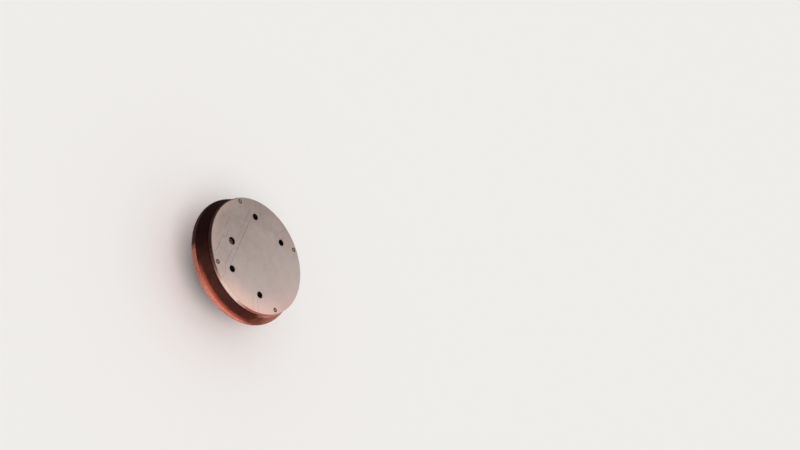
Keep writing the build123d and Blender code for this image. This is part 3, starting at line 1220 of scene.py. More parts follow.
@dataclass
class Wardrobe:
    """Materials by the record's slots, put on every node that keeps its CAD shape."""

    frame: dict
    materials: dict[Slot, bpy.types.Material] = field(default_factory=dict)

    def fill(self) -> None:
        """Make the material of every slot."""
        rim, _, face_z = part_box("cover_skin")[1]
        hole, port = "socket_sleeve_1", "port_sleeve"
        edge_low, edge_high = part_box("cover_frame")
        wall_low, wall_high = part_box("side_wall")
        heads = tuple(centre_of(name) for name in numbered("release_fitting"))
        finishes = {
            Slot.COVER: CoverAblator("cover_ablator", face_z, rim, centre_of(hole), radius_of(hole),
                                     centre_of(port), radius_of(port)),
            Slot.COVER_EDGE: CoverEdge("cover_edge", edge_low.z, edge_high.x),
            Slot.SIDE_WALL: CharredWall("charred_wall", wall_low.z, wall_high.z),
            Slot.HEAT_SHIELD: ShieldTile("shield_tile"),
            Slot.CARRIER: WorkedMetal("carrier_alloy", roughness=0.42),
            Slot.DECK: WorkedMetal("deck_alloy", (0.50, 0.47, 0.40), (0.36, 0.33, 0.27), 0.40,
                                   lay=Lay.ALONG_X),
            Slot.SEAT: WorkedMetal("seat_alloy", (0.60, 0.59, 0.58), (0.44, 0.43, 0.42), 0.32,
                                   lay=Lay.ROUND),
            Slot.SEAL: SoftFiller("seal_rubber", (0.014, 0.013, 0.013), (0.040, 0.037, 0.035)),
            Slot.CAN: WorkedMetal("can_alloy", (0.62, 0.62, 0.62), (0.47, 0.46, 0.45), 0.30),
            Slot.CANOPY: WovenCloth("canopy_cloth"),
            Slot.CANISTER: WorkedMetal("canister_alloy"),
            Slot.CONNECTOR: WorkedMetal("connector_shell", (0.22, 0.175, 0.155), (0.14, 0.112, 0.10), 0.46),
            Slot.ELECTRONICS: HardPaint("box_paint"),
            Slot.BATTERY: HardPaint("battery_paint", (0.17, 0.18, 0.17), (0.28, 0.28, 0.27)),
            Slot.SOCKET: SootAndShadeLining("socket_bore", (0.006, 0.005, 0.005), (0.016, 0.013, 0.012)),
            Slot.SLEEVE: SootAndShadeLining("hole_sleeve"),
            Slot.FITTING: ReleaseHead("fitting_alloy", heads),
        }
        self.materials = {slot: finish.build() for slot, finish in finishes.items()}

    def dress(self) -> None:
        """Put each node's material on it."""
        for part in self.frame["record"]["subparts"]:
            node = self.frame["nodes"][part["node"]]
            material = self.materials[Slot(part["material_slot"])]
            node.data.materials.clear()
            node.data.materials.append(material)
            log.info("%s: %s", part["node"], material.name)

    def __getitem__(self, slot: Slot) -> bpy.types.Material:
        """Material of a slot."""
        return self.materials[slot]


@dataclass
class HeatShield:
    """Beads of filler in the seams between the shield's tiles and ring."""

    nose_r: float = 0.450
    foot_r: float = 0.045
    nose_end_r: float = 0.158
    flank_end_r: float = 0.415
    slope: float = math.radians(45.0)
    gap: float = 0.002
    sunk: float = 0.0012
    dip: float = 0.0006
    thick: float = 0.006
    nose_seams: int = 4
    flank_seams: int = 8
    samples: int = 26
    round_points: int = 192

    def surface(self, r: float, depth: float) -> Flat:
        """Point under the shield's outer line.

        Args:
            r: Radius of the point on the outer line.
            depth: Distance below it along its normal.

        Returns:
            The point as (r, z).
        """
        centre_z = math.sqrt(self.nose_r**2 - self.foot_r**2)
        start = self.nose_r * math.sin(self.slope)
        if r < self.foot_r:
            return (r, depth)
        angle = min(math.asin(min(r / self.nose_r, 1.0)), self.slope)
        z = centre_z - self.nose_r * math.cos(angle) + max(r - start, 0.0) * math.tan(self.slope)
        return (r - depth * math.sin(angle), z + depth * math.cos(angle))

    def section(self) -> tuple[Flat, ...]:
        """Section of a bead, as pairs of a share of its width and a depth under the outer line."""
        return ((0.0, self.sunk), (0.5, self.sunk + self.dip), (1.0, self.sunk), (1.0, self.thick),
                (0.0, self.thick))

    def ring_bead(self, shape: Shape, r: float, width: float) -> None:
        """Add a bead that runs round the axis.

        Args:
            shape: Shape that takes the bead.
            r: Radius where the seam starts.
            width: Width of the seam in radius.
        """
        outline = [self.surface(r + share * width, depth) for share, depth in self.section()]
        shape.turn(outline, count=self.round_points, closed=True)

    def spoke_bead(self, shape: Shape, degrees: float, r_low: float, r_high: float) -> None:
        """Add a bead that runs away from the axis.

        Args:
            shape: Shape that takes the bead.
            degrees: Direction of the seam.
            r_low: Radius where it starts.
            r_high: Radius where it ends.
        """
        across = Vector((*polar(1.0, degrees + 90.0), 0.0))
        rings = []
        for index in range(self.samples + 1):
            r = r_low + (r_high - r_low) * index / self.samples
            ring = []
            for share, depth in self.section():
                at_r, z = self.surface(r, depth)
                ring.append(Vector((*polar(at_r, degrees), z)) + across * ((share - 0.5) * self.gap))
            rings.append(ring)
        shape.skin(rings)

    def build(self) -> None:
        """Build the seam fillers."""
        filler = SoftFiller("seam_filler").build()
        slant = math.cos(math.asin(self.nose_end_r / self.nose_r))
        shape = Shape()
        self.ring_bead(shape, self.nose_end_r, self.gap * slant)
        self.ring_bead(shape, self.flank_end_r, self.gap * math.cos(self.slope))
        shape.piece("shield_ring_fillers", filler, Body.CAPSULE, Slot.HEAT_SHIELD)
        shape = Shape()
        for index in range(self.nose_seams):
            self.spoke_bead(shape, (index + 0.5) * 360.0 / self.nose_seams, self.gap, self.nose_end_r)
        for index in range(self.flank_seams):
            self.spoke_bead(shape, (index + 0.5) * 360.0 / self.flank_seams, self.nose_end_r + self.gap,
                            self.flank_end_r)
        shape.piece("shield_spoke_fillers", filler, Body.CAPSULE, Slot.HEAT_SHIELD)


@dataclass
class BackCover:
    """Flush screws and seam fillers of the inlays, bushes of the release fittings, and the port's collar."""

    wardrobe: Wardrobe
    radius: float = 0.416
    screw: Screw = Screw(0.0032, 0.0004, 0.0014, 0.0003, 0.0002)
    screw_sunk: float = 0.0002
    harness_screws: tuple[Flat, ...] = (
        (0.06, 0.431), (0.26, 0.431), (0.46, 0.431), (0.681, 0.10), (0.681, -0.12),
        (0.80, 0.360), (0.875, 0.392), (0.80, -0.315), (0.870, -0.352),
    )
    panel_screws: tuple[Flat, ...] = (
        (-0.56, 0.52), (-0.57, 0.70), (-0.40, 0.68), (-0.25, 0.69), (0.13, 0.71), (-0.02, 0.71), (0.14, 0.52),
    )
    bush_inner: float = 0.0138
    bush_outer: float = 0.0165
    bush_sunk: float = 0.0012
    seam: float = 0.0016
    seam_depth: float = 0.0030
    # Bonded seams: start and end in shares of the radius, and how far the filler sits below the face; fillers
    # about a millimetre down take part of the rim's darker colour as painted shade in the seam.
    bonded: tuple[tuple[Flat, Flat, float], ...] = (
        ((0.712, -0.203), (0.9448, -0.3215), 0.0010),
        ((0.9014, -0.4285), (0.734, -0.341), 0.0009),
        ((-0.8965, 0.4385), (-0.770, 0.400), 0.0010),
        ((-0.712, 0.245), (-0.9324, 0.3558), 0.0002),
        ((0.640, 0.474), (0.770, 0.400), 0.0004),
        ((-0.712, -0.203), (-0.712, 0.245), 0.0003),
        ((-0.650, 0.260), (-0.650, -0.285), 0.0006),
        ((0.650, -0.285), (0.650, 0.260), 0.0010),
    )
    collar_width: float = 0.0150
    collar_h: float = 0.0011
    collar_bevel: float = 0.0012
    collar_lip: float = 0.0004
    collar_foot: float = 0.0003
    collar_gap: float = 0.0003

    def fasteners(self, face_z: float) -> None:
        """Set small screws flush in the two inlays.

        Args:
            face_z: Height of the cover's face.
        """
        shape = Shape()
        places = [(side * x, y) for x, y in self.harness_screws for side in (1, -1)]
        for x, y in [*places, *self.panel_screws]:
            self.screw.put(shape, upright(x * self.radius, y * self.radius, face_z - self.screw_sunk))
        shape.piece("inlay_screws", self.wardrobe[Slot.COVER], Body.BACK_COVER, Slot.COVER)

    def bushes(self, face_z: float) -> None:
        """Line each fitting's well with a dark bush.

        Args:
            face_z: Height of the cover's face.
        """
        shape = Shape()
        top = face_z - self.bush_sunk
        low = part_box("cover_frame")[1].z
        outline = [(self.bush_inner, low), (self.bush_outer, low), (self.bush_outer, top),
                   (self.bush_inner, top)]
        for name in numbered("release_fitting"):
            shape.turn(outline, upright(*centre_of(name), 0.0), closed=True)
        # The bushes take the nearly black lining, partly painted shade of the groove round each fitting.
        shape.piece("fitting_bushes", self.wardrobe[Slot.SLEEVE], Body.BACK_COVER, Slot.SLEEVE)

    def fillers(self, face_z: float) -> None:
        """Fill the harness cover's bonded seams nearly up to the face.

        Args:
            face_z: Height of the cover's face.
        """
        shape = Shape()
        for start, end, sunk in self.bonded:
            a, b = (Vector((x * self.radius, y * self.radius, 0.0)) for x, y in (start, end))
            way = (b - a).normalized()
            inward = Vector((way.y, -way.x, 0.0)) * self.seam
            corners = (a, b, b + inward, a + inward)
            shape.skin([[corner + Vector((0.0, 0.0, z)) for corner in corners]
                        for z in (face_z - self.seam_depth, face_z - sunk)])
        shape.piece("inlay_seam_fillers", self.wardrobe[Slot.COVER], Body.BACK_COVER, Slot.COVER)

    def collar(self, face_z: float) -> None:
        """Lay a thin bonded collar round the umbilical port.

        Args:
            face_z: Height of the cover's face.
        """
        inner = radius_of("port_sleeve") + self.collar_gap
        outer, foot, top = inner + self.collar_width, face_z - self.collar_foot, face_z + self.collar_h
        shape = Shape()
        shape.turn([(inner, foot), (inner, top - self.collar_lip), (inner + self.collar_lip, top),
                    (outer - self.collar_bevel, top), (outer, face_z), (outer, foot)],
                   upright(*centre_of("port_sleeve"), 0.0), 96, closed=True)
        shape.piece("port_collar", self.wardrobe[Slot.COVER], Body.BACK_COVER, Slot.COVER, 20.0)

    def build(self) -> None:
        """Build the cover's small pieces."""
        face_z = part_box("cover_skin")[1].z
        self.fasteners(face_z)
        self.bushes(face_z)
        self.fillers(face_z)
        self.collar(face_z)


@dataclass
class Umbilical:
    """Insert with its contacts, in the recess of the umbilical connector."""

    recess: float = 0.004
    insert_r: float = 0.0147
    insert_h: float = 0.0012
    insert_edge: float = 0.0004
    pin_r: float = 0.0009
    pin_tip_r: float = 0.00036
    pin_h: float = 0.0022
    pin_cone: float = 0.0005
    rings: tuple[tuple[float, int], ...] = ((0.0040, 5), (0.0080, 10), (0.0118, 15))

    def insert(self, place: Matrix) -> None:
        """Build the insert.

        Args:
            place: Middle of the recess's floor.
        """
        shape = Shape()
        edge = self.insert_edge
        shape.turn([(0.0, self.insert_h), (self.insert_r - edge, self.insert_h),
                    (self.insert_r, self.insert_h - edge), (self.insert_r, 0.0), (0.0, 0.0)], place)
        resin = SoftFiller("insert_resin", (0.070, 0.052, 0.045), (0.110, 0.083, 0.072)).build()
        shape.piece("connector_insert", resin, Body.CAPSULE, Slot.CONNECTOR)

    def contacts(self, place: Matrix) -> None:
        """Build the rings of contacts.

        Args:
            place: Middle of the recess's floor.
        """
        shape = Shape()
        pin = [(0.0, 0.0), (self.pin_r, 0.0), (self.pin_r, self.pin_h - self.pin_cone),
               (self.pin_tip_r, self.pin_h), (0.0, self.pin_h)]
        for radius, count in self.rings:
            for index in range(count):
                spot = upright(*polar(radius, 360.0 * index / count), self.insert_h)
                shape.turn(pin, place @ spot, 10)
        gold = WorkedMetal("contact_gold", (0.30, 0.235, 0.150), (0.22, 0.17, 0.11), 0.34).build()
        shape.piece("connector_contacts", gold, Body.CAPSULE, Slot.CONNECTOR)

    def build(self) -> None:
        """Build the insert and its contacts."""
        face_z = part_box("umbilical_connector")[1].z
        place = upright(*centre_of("umbilical_connector"), face_z - self.recess)
        self.insert(place)
        self.contacts(place)


@dataclass
class BayScrews:
    """Screws of the deck, the seat ring, the can's flange and the feet of the sockets."""

    plain: Screw = Screw()
    seat: Screw = Screw(0.0032, 0.0024, 0.0015, 0.0014)
    foot: Screw = Screw(0.0030, 0.0030, 0.0014, 0.0016)
    washer_ratio: float = 1.45
    deck_pitch_r: float = 0.416
    deck_screws: int = 36
    seat_pitch_r: float = 0.380
    seat_screws: int = 24
    pad_bearings: tuple[float, ...] = (49.0, 139.0, 229.0, 319.0)
    pad_reach: float = 0.030
    flange_pitch_r: float = 0.141
    flange_screws: int = 12
    flange_t: float = 0.004
    foot_pitch_r: float = 0.036
    foot_screws: int = 6
    foot_t: float = 0.005

    def circle_of(self, shape: Shape, screw: Screw, centre: Flat, pitch_r: float, count: int, z: float,
                  pads: Sequence[Flat] = ()) -> None:
        """Put screws on a circle.

        Args:
            shape: Shape that takes them.
            screw: The screw.
            centre: Middle of the circle.
            pitch_r: Radius of the circle.
            count: Number of screws.
            z: Height of their seat.
            pads: Middles of the pads that have no screws.
        """
        for index in range(count):
            px, py = polar(pitch_r, 360.0 * (index + 0.5) / count)
            place = (centre[0] + px, centre[1] + py)
            if all(math.dist(place, pad) >= self.pad_reach for pad in pads):
                screw.put_with_washer(shape, upright(*place, z), screw.head_r * self.washer_ratio)

    def build(self) -> None:
        """Build the bay's visible screws."""
        middle = (0.0, 0.0)
        deck_z, seat_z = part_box("deck")[1].z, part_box("side_wall")[1].z
        steel = WorkedMetal("screw_steel", (0.48, 0.47, 0.46), (0.33, 0.32, 0.31), 0.30).build()
        shape = Shape()
        self.circle_of(shape, self.plain, middle, self.deck_pitch_r, self.deck_screws, deck_z)
        shape.piece("deck_screws", steel, Body.CAPSULE, Slot.DECK)
        pads = [polar(self.seat_pitch_r, degrees) for degrees in self.pad_bearings]
        shape = Shape()
        self.circle_of(shape, self.seat, middle, self.seat_pitch_r, self.seat_screws, seat_z, pads)
        shape.piece("seat_screws", steel, Body.CAPSULE, Slot.SEAT)
        shape = Shape()
        flange_z, foot_z = deck_z + self.flange_t, deck_z + self.foot_t
        self.circle_of(shape, self.plain, middle, self.flange_pitch_r, self.flange_screws, flange_z)
        for name in numbered("socket_tube"):
            self.circle_of(shape, self.foot, centre_of(name), self.foot_pitch_r, self.foot_screws, foot_z)
        shape.piece("flange_screws", steel, Body.CAPSULE, Slot.CAN)


@dataclass
class ParachuteBag:
    """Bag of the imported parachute, filled by a cloth simulation in the can's mouth."""

    wardrobe: Wardrobe
    start_r: float = 0.1215
    limit_r: float = 0.1256
    limit_z: float = 0.3690
    foot_up: float = 0.003
    foot_bevel: float = 0.012
    edge_down: float = 0.0145
    shoulder: float = 0.016
    shoulder_steps: int = 5
    crown: float = 0.0065
    crown_places: tuple[float, ...] = (0.3, 0.6, 0.85, 1.0)
    voxel: float = 0.0058
    pressure: float = 4.2
    tension: float = 9.0
    compression: float = 5.0
    bending: float = 0.25
    frames: int = 20
    cap: float = 0.0120
    seam_half: float = 0.0042
    hub_r: float = 0.0190
    tied_z: float = 0.306
    fullness: float = 0.8

    def seed(self) -> bpy.types.Mesh:
        """Make the bag's closed form before it is filled.

        Returns:
            The remeshed form.
        """
        low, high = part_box("parachute_pack")
        base, edge = low.z + self.foot_up, high.z - self.edge_down
        outline = [(0.0, base), (self.start_r - self.foot_bevel, base),
                   (self.start_r, base + self.foot_bevel), (self.start_r, edge - self.shoulder)]
        for step in range(1, self.shoulder_steps + 1):
            a = math.pi / 2 * step / self.shoulder_steps
            outline.append((self.start_r - self.shoulder * (1.0 - math.cos(a)),
                            edge - self.shoulder * (1.0 - math.sin(a))))
        flat_r = self.start_r - self.shoulder
        for t in self.crown_places:
            outline.append((flat_r * (1.0 - t), edge + self.crown * math.sin(math.pi / 2 * t)))
        shape = Shape()
        shape.turn(outline, count=96)
        form = add_object("bag_form", shape.data("bag_form"))
        remesh = form.modifiers.new("remesh", "REMESH")
        remesh.mode = "VOXEL"
        remesh.voxel_size = self.voxel
        made = evaluated(form)
        bpy.data.objects.remove(form)
        return made

    def held(self, place: Vector) -> bool:
        """Whether the cloth is sewn or tied down at a place.

        Args:
            place: The place.

        Returns:
            True on the seams, under the grommet and on the bag's lower half.
        """
        if place.z < self.tied_z:
            return True
        across = min(abs(place.x - place.y), abs(place.x + place.y)) / math.sqrt(2.0)
        return across < self.seam_half or math.hypot(place.x, place.y) < self.hub_r

    def fill(self, form: bpy.types.Mesh) -> bpy.types.Mesh:
        """Fill the bag by a cloth simulation under pressure.

        Args:
            form: The remeshed form.

        Returns:
            The filled bag.
        """
        bag = add_object("bag_cloth", form)
        before = [vertex.co.copy() for vertex in form.vertices]
        group = bag.vertex_groups.new(name="held")
        group.add([index for index, place in enumerate(before) if self.held(place)], 1.0, "REPLACE")
        settings = bag.modifiers.new("cloth", "CLOTH").settings
        settings.use_pressure = True
        settings.uniform_pressure_force = self.pressure
        settings.effector_weights.gravity = 0.0
        settings.vertex_group_mass = "held"
        settings.tension_stiffness = self.tension
        settings.compression_stiffness = self.compression
        settings.bending_stiffness = self.bending
        scene = bpy.context.scene
        for frame in range(1, self.frames + 1):
            scene.frame_set(frame)
        filled = evaluated(bag)
        scene.frame_set(1)
        bpy.data.objects.remove(bag)
        for vertex, start in zip(filled.vertices, before):
            self.limit(vertex, start)
        return filled

    def limit(self, vertex: bpy.types.MeshVertex, start: Vector) -> None:
        """Keep a point of the filled bag near its start and inside the can.

        Args:
            vertex: The point.
            start: Where it was before the bag was filled.
        """
        move = vertex.co - start
        if move.length > self.cap:
            vertex.co = start + move * (self.cap / move.length)
        out = math.hypot(vertex.co.x, vertex.co.y)
        if out > self.limit_r:
            vertex.co.x *= self.limit_r / out
            vertex.co.y *= self.limit_r / out
        vertex.co.z = min(vertex.co.z, self.limit_z)

    def build(self) -> bpy.types.Object:
        """Build the bag.

        Returns:
            The bag, in place of the CAD's plain solid.
        """
        form = self.seed()
        made = add_object("parachute_bag", self.fill(form))
        soften = made.modifiers.new("soften", "SUBSURF")
        soften.levels = soften.render_levels = 1
        smooth = evaluated(made)
        made.modifiers.clear()
        made.data = smooth
        smooth.materials.clear()
        smooth.materials.append(self.wardrobe[Slot.CANOPY])
        smooth.shade_smooth()
        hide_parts("parachute_pack")
        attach(made, Body.CAPSULE.value)
        log.info("parachute_bag: %d faces, replaces parachute_pack", len(smooth.polygons))
        return made


@dataclass
class PackStraps:
    """Crossed straps over the parachute's bag, with their stitches."""

    bag: bpy.types.Object
    reach: float = 0.1156
    wall_r: float = 0.1244
    bend: tuple[Flat, ...] = ((0.004, 0.006), (0.0, 0.014))
    end_z: float = 0.336
    half: float = 0.0125
    thick: float = 0.0017
    selvage: float = 0.0005
    lift: float = 0.0006
    samples: int = 60
    smooth_over: int = 3
    probe_z: float = 0.5
    probes: tuple[float, ...] = (-0.8, 0.0, 0.8)
    stitch_rows: tuple[float, ...] = (-0.74, 0.74)
    stitch_pitch: float = 0.0046
    stitch_half: float = 0.0015
    stitch_r: float = 0.00042
    stitch_up: float = 0.000084
    stitch_outline: tuple[Flat, ...] = ((0.35, 0.0), (1.0, 0.4), (1.0, 1.6), (0.35, 2.0))

    def line(self, degrees: float, lift: float) -> list[Vector]:
        """Follow the bag's surface across its crown, and down the can's wall at both ends.

        Args:
            degrees: Direction of the strap.
            lift: Height of the line above the cloth.

        Returns:
            Points from one side of the can to the other.
        """
        data = self.bag.data
        tree = BVHTree.FromPolygons([v.co for v in data.vertices], [p.vertices for p in data.polygons])
        way = Vector((*polar(1.0, degrees), 0.0))
        aside = Vector((-way.y, way.x, 0.0))
        down = Vector((0.0, 0.0, -1.0))
        places, heights = [], []
        for index in range(self.samples + 1):
            places.append(way * (-self.reach + 2.0 * self.reach * index / self.samples))
            hits = [tree.ray_cast(places[-1] + aside * (off * self.half) - down * self.probe_z, down)[0]
                    for off in self.probes]
            heights.append(max(hit.z if hit else self.end_z for hit in hits))
        line = []
        for index, place in enumerate(places):
            near = heights[max(index - self.smooth_over, 0):index + self.smooth_over + 1]
            line.append(place + Vector((0.0, 0.0, sum(near) / len(near) + lift)))
        first, last = line[0].z, line[-1].z
        return [*reversed(self.side(-way, first)), *line, *self.side(way, last)]

    def side(self, way: Vector, z: float) -> list[Vector]:
        """Bend of a strap from the bag's crown down the can's wall.

        Args:
            way: Direction of the strap's end.
            z: Height of the strap where the bend starts.

        Returns:
            Points from the crown to the strap's end.
        """
        bend = [(self.wall_r - inset, z - drop) for inset, drop in self.bend]
        return [Vector((way.x * r, way.y * r, height)) for r, height in (*bend, (self.wall_r, self.end_z))]

    def build(self) -> None:
        """Lay the two crossed straps and their rows of stitches."""
        tape, thread = Shape(), Shape()
        half, inner = self.half, self.half - self.selvage
        section = ((-half, 0.3), (-inner, 1.0), (inner, 1.0), (half, 0.3), (inner, 0.0), (-inner, 0.0))
        for degrees, lift in ((0.0, self.lift), (90.0, self.lift + self.thick)):
            line = self.line(degrees, lift)
            across = Vector((*polar(1.0, degrees + 90.0), 0.0))
            rings, ups = [], []
            for index, place in enumerate(line):
                before, after = line[max(index - 1, 0)], line[min(index + 1, len(line) - 1)]
                up = (after - before).normalized().cross(across).normalized()
                ups.append(up if up.z >= 0.0 else -up)
                rings.append([place + across * side + ups[-1] * (self.thick * height)
                              for side, height in section])
            tape.skin(rings)
            for side in self.stitch_rows:
                self.stitches(thread, line, ups, across * (side * self.half))
        webbing = WovenCloth("strap_webbing", (0.300, 0.275, 0.225), (0.420, 0.390, 0.330),
                             (0.140, 0.125, 0.100), 0.0018).build()
        tape.piece("pack_straps", webbing, Body.CAPSULE, Slot.CANOPY)
        sewing = WovenCloth("strap_thread", (0.62, 0.56, 0.44), (0.72, 0.66, 0.54), (0.36, 0.31, 0.24),
                            0.0004).build()
        thread.piece("strap_stitches", sewing, Body.CAPSULE, Slot.CANOPY)

    def stitches(self, shape: Shape, line: Sequence[Vector], ups: Sequence[Vector], aside: Vector) -> None:
        """Sew a row of stitches along a strap.

        Args:
            shape: Shape that takes them.
            line: The strap's line.
            ups: The strap's outward directions along it.
            aside: Offset of the row from the line.
        """
        stitch = [Ring.circle(self.stitch_r * r, z * self.stitch_half, 6) for r, z in self.stitch_outline]
        walked, due = 0.0, self.stitch_pitch
        for index, (start, end) in enumerate(zip(line, line[1:])):
            step = (end - start).length
            while walked + step > due:
                t = (due - walked) / step
                up = ups[index].lerp(ups[index + 1], t).normalized()
                middle = start.lerp(end, t) + aside + up * (self.thick + self.stitch_up)
                way = (end - start).normalized()
                shape.skin(stitch, along(middle - way * self.stitch_half, way))
                due += self.stitch_pitch
            walked += step


@dataclass
class PackHub:
    """Grommet where the straps cross, with the closing pin through its loop."""

    bag: bpy.types.Object
    straps_t: float = 0.0034
    bag_reach: float = 0.0190
    grommet_outline: tuple[Flat, ...] = ((0.0062, 0.0), (0.0150, 0.0), (0.0158, 0.0004), (0.0150, 0.0011),
                                         (0.0090, 0.0014), (0.0066, 0.0019), (0.0060, 0.0012))
    pin_head: Flat = (0.021, 0.013)
    pin_up: float = 0.0030
    pin_r: float = 0.0010
    pin_outline: tuple[Flat, ...] = ((0.3, 0.0), (0.8, 0.03), (1.0, 0.07), (1.0, 1.0))
    eye_r: float = 0.0042
    eye_wire_r: float = 0.0008
    loop_half: float = 0.0026
    loop_h: float = 0.0062
    loop_sunk: float = 0.0030
    loop_r: float = 0.0009
    loop_bearing: float = 122.0
    loop_steps: int = 14

    def pin(self, seat: float) -> Shape:
        """Make the closing pin with its eye.

        Args:
            seat: Height of the straps' top.

        Returns:
            The pin.
        """
        shape = Shape()
        head = Vector((*self.pin_head, seat + self.pin_up))
        tail = Vector((-head.x, -head.y, head.z))
        way = (head - tail).normalized()
        length = (head - tail).length
        shape.skin([Ring.circle(r * self.pin_r, z * length, 14) for r, z in self.pin_outline],
                   along(tail, way))
        eye = along(head + way * self.eye_r, Vector((0.0, 0.0, 1.0)))
        shape.hoop(self.eye_r, self.eye_wire_r, eye)
        return shape

    def loop(self, seat: float) -> Shape:
        """Make the loop of lace that the pin goes through.

        Args:
            seat: Height of the straps' top.

        Returns:
            The loop.
        """
        shape = Shape()
        angles = (math.pi * index / self.loop_steps for index in range(self.loop_steps + 1))
        line = [Vector((self.loop_half * math.cos(a), 0.0, seat - self.loop_sunk + self.loop_h * math.sin(a)))
                for a in angles]
        shape.tube(line, self.loop_r, Matrix.Rotation(math.radians(self.loop_bearing), 4, "Z"))
        return shape

    def build(self) -> None:
        """Build the grommet, the pin and the loop."""
        seat = self.straps_t + max(v.co.z for v in self.bag.data.vertices
                                   if math.hypot(v.co.x, v.co.y) < self.bag_reach)
        steel = WorkedMetal("grommet_steel", (0.58, 0.56, 0.53), (0.40, 0.38, 0.35), 0.30,
                            lay=Lay.ROUND).build()
        shape = Shape()
        shape.turn([(r, seat + up) for r, up in self.grommet_outline], closed=True)
        shape.piece("pack_grommet", steel, Body.CAPSULE, Slot.CANOPY)
        self.pin(seat).piece("closing_pin", steel, Body.CAPSULE, Slot.CANOPY)
        lace = WovenCloth("loop_lace", (0.60, 0.55, 0.44), (0.70, 0.65, 0.53), (0.34, 0.29, 0.22),
                          0.0005).build()
        self.loop(seat).piece("closing_loop", lace, Body.CAPSULE, Slot.CANOPY)


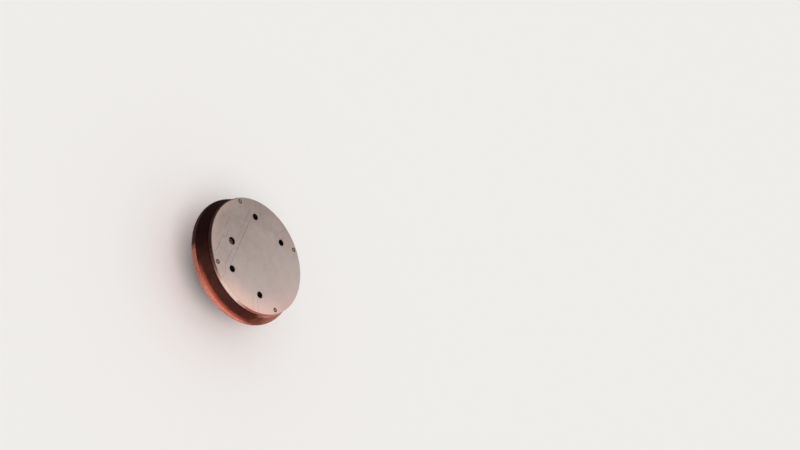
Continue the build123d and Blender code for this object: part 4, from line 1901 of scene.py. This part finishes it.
@dataclass
class EquipmentBoxes:
    """Ribbed lids, screws, capped receptacles and fixing lugs of the four boxes on the deck."""

    wardrobe: Wardrobe
    names: tuple[str, ...] = ("avionics_box", "battery_box", "beacon_box", "sequencer_box")
    bevel: float = 0.0006
    sunk: float = 0.0004
    margin: float = 0.0085
    lid_t: float = 0.0022
    lid_corner: float = 0.006
    rib_rows: tuple[float, ...] = (-0.24, -0.08, 0.08, 0.24)
    rib_run: float = 0.52
    rib_shift: float = -0.13
    rib_width: float = 0.0032
    rib_h: float = 0.0022
    rib_corner: float = 0.0015
    screw: Screw = Screw(0.0026, 0.0016, 0.0012, 0.0010, 0.0004)
    screw_inset: float = 0.0058
    screw_pitch: float = 0.034
    lug: tuple[float, float, float] = (0.018, 0.015, 0.004)
    lug_overlap: float = 0.001
    lug_corner: float = 0.003
    lug_places: tuple[float, ...] = (0.16, 0.84)
    lug_screw: Screw = Screw(0.0036, 0.0030, 0.0016, 0.0018)
    lug_washer_r: float = 0.0050
    receptacles: tuple[Flat, ...] = ((-0.27, 0.0072), (0.0, 0.0088), (0.27, 0.0072))
    receptacle_inset: float = 0.028
    flange_side: float = 2.7
    flange_corner: float = 0.2
    flange_t: float = 0.0018
    shell_h: float = 0.0040
    cap_points: int = 48
    knurl: float = 0.045
    cap_outline: tuple[tuple[float, float, bool], ...] = (
        (1.06, 0.0030, False), (1.14, 0.0034, True), (1.14, 0.0070, True), (1.05, 0.0076, False),
        (0.72, 0.0078, False), (0.66, 0.0072, False),
    )

    def slab(self, shape: Shape, centre: Flat, size: Flat, low: float, high: float, corner: float) -> None:
        """Add a flat plate with round corners and a fine bevel.

        Args:
            shape: Shape that takes it.
            centre: Its middle.
            size: Its size along X and Y.
            low: Height of its underside.
            high: Height of its top.
            corner: Radius of its corners.
        """
        bevel = min(self.bevel, (high - low) / 3)
        shape.skin([Ring.rounded(*size, corner, low), Ring.rounded(*size, corner, high - bevel),
                    Ring.rounded(size[0] - 2 * bevel, size[1] - 2 * bevel, corner - bevel, high)],
                   upright(*centre, 0.0))

    def lid(self, plates: Shape, screws: Shape, centre: Flat, size: Flat, top: float) -> None:
        """Build one lid with its ribs and its row of screws.

        Args:
            plates: Shape that takes the lid.
            screws: Shape that takes the screws.
            centre: Middle of the box.
            size: Size of the lid.
            top: Height of the box.
        """
        face = top + self.lid_t
        self.slab(plates, centre, size, top - self.sunk, face, self.lid_corner)
        swap = size[1] >= size[0]
        run, width = swapped(size, swap)
        for row in self.rib_rows:
            across, forth = swapped((run * self.rib_shift, row * width), swap)
            bar = swapped((run * self.rib_run, self.rib_width), swap)
            self.slab(plates, (centre[0] + across, centre[1] + forth), bar, face - self.sunk / 2,
                      face + self.rib_h, self.rib_corner)
        half = (size[0] / 2 - self.screw_inset, size[1] / 2 - self.screw_inset)
        for axis in (0, 1):
            count = max(2, round(2 * half[axis] / self.screw_pitch))
            for index in range(axis, count + 1 - axis):
                t = -1.0 + 2.0 * index / count
                for sign in (-1.0, 1.0):
                    across, forth = swapped((t * half[axis], sign * half[1 - axis]), bool(axis))
                    self.screw.put(screws, upright(centre[0] + across, centre[1] + forth, face))

    def receptacle(self, shells: Shape, caps: Shape, place: Matrix, radius: float) -> None:
        """Build a square-flanged receptacle with a knurled dust cap.

        Args:
            shells: Shape that takes the flange and shell.
            caps: Shape that takes the cap.
            place: Where its flange sits and points.
            radius: Radius of the shell.
        """
        side, corner, top = self.flange_side * radius, self.flange_corner * radius, self.flange_t
        shells.skin([Ring.rounded(side, side, corner, 0.0), Ring.rounded(side, side, corner, top - self.sunk),
                     Ring.rounded(side - self.bevel, side - self.bevel, corner, top)], place)
        shells.turn([(0.0, top), (radius, top), (radius, self.shell_h), (0.0, self.shell_h)], place, 32)
        rings = []
        for r, z, grip in self.cap_outline:
            ring = Ring.circle(radius * r, z, self.cap_points)
            for spot in ring[1::2] if grip else ():
                spot.x *= 1.0 - self.knurl
                spot.y *= 1.0 - self.knurl
            rings.append(ring)
        caps.skin(rings, place)

    def lugs(self, plates: Shape, screws: Shape, low: Vector, high: Vector) -> None:
        """Build the fixing lugs at a box's foot.

        Args:
            plates: Shape that takes the lugs.
            screws: Shape that takes the screws.
            low: Lowest corner of the box.
            high: Highest corner of the box.
        """
        width, depth, thick = self.lug
        swap = high.y - low.y >= high.x - low.x
        run, side = (1, 0) if swap else (0, 1)
        size = swapped((width, depth + self.lug_overlap), swap)
        for t in self.lug_places:
            at = low[run] + t * (high[run] - low[run])
            for edge in (low[side] - depth / 2, high[side] + depth / 2):
                spot = swapped((at, edge), swap)
                self.slab(plates, spot, size, low.z, low.z + thick, self.lug_corner)
                self.lug_screw.put_with_washer(screws, upright(*spot, low.z + thick), self.lug_washer_r)

    def build(self) -> None:
        """Build the trim of every box."""
        steel = WorkedMetal("lid_screw_steel", (0.50, 0.49, 0.47), (0.34, 0.33, 0.31), 0.30).build()
        nickel = WorkedMetal("receptacle_nickel", (0.36, 0.35, 0.30), (0.24, 0.23, 0.20), 0.36).build()
        rubber = SoftFiller("cap_moulding", (0.030, 0.028, 0.027), (0.060, 0.055, 0.052), 0.55).build()
        for name in self.names:
            low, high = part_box(name)
            centre = centre_of(name)
            size = (high.x - low.x - 2 * self.margin, high.y - low.y - 2 * self.margin)
            slot = Slot.BATTERY if name == "battery_box" else Slot.ELECTRONICS
            plates, screws, shells, caps = Shape(), Shape(), Shape(), Shape()
            self.lid(plates, screws, centre, size, high.z)
            self.lugs(plates, screws, low, high)
            swap = size[1] >= size[0]
            run, width = swapped(size, swap)
            for row, radius in self.receptacles:
                across, forth = swapped((run / 2 - self.receptacle_inset, row * width), swap)
                place = upright(centre[0] + across, centre[1] + forth, high.z + self.lid_t)
                self.receptacle(shells, caps, place, radius)
            plates.piece(f"{name}_lid", self.wardrobe[slot], Body.CAPSULE, slot)
            screws.piece(f"{name}_screws", steel, Body.CAPSULE, slot)
            shells.piece(f"{name}_receptacles", nickel, Body.CAPSULE, slot)
            caps.piece(f"{name}_caps", rubber, Body.CAPSULE, slot)


def main() -> None:
    """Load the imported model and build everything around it."""
    logging.basicConfig(level=logging.INFO, format="%(name)s: %(message)s")
    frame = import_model()
    Studio().build()
    PhotoCamera().build()
    wardrobe = Wardrobe(frame)
    wardrobe.fill()
    wardrobe.dress()
    HeatShield().build()
    BackCover(wardrobe).build()
    Umbilical().build()
    BayScrews().build()
    bag = ParachuteBag(wardrobe).build()
    PackStraps(bag).build()
    PackHub(bag).build()
    EquipmentBoxes(wardrobe).build()


if __name__ == "__main__":
    main()
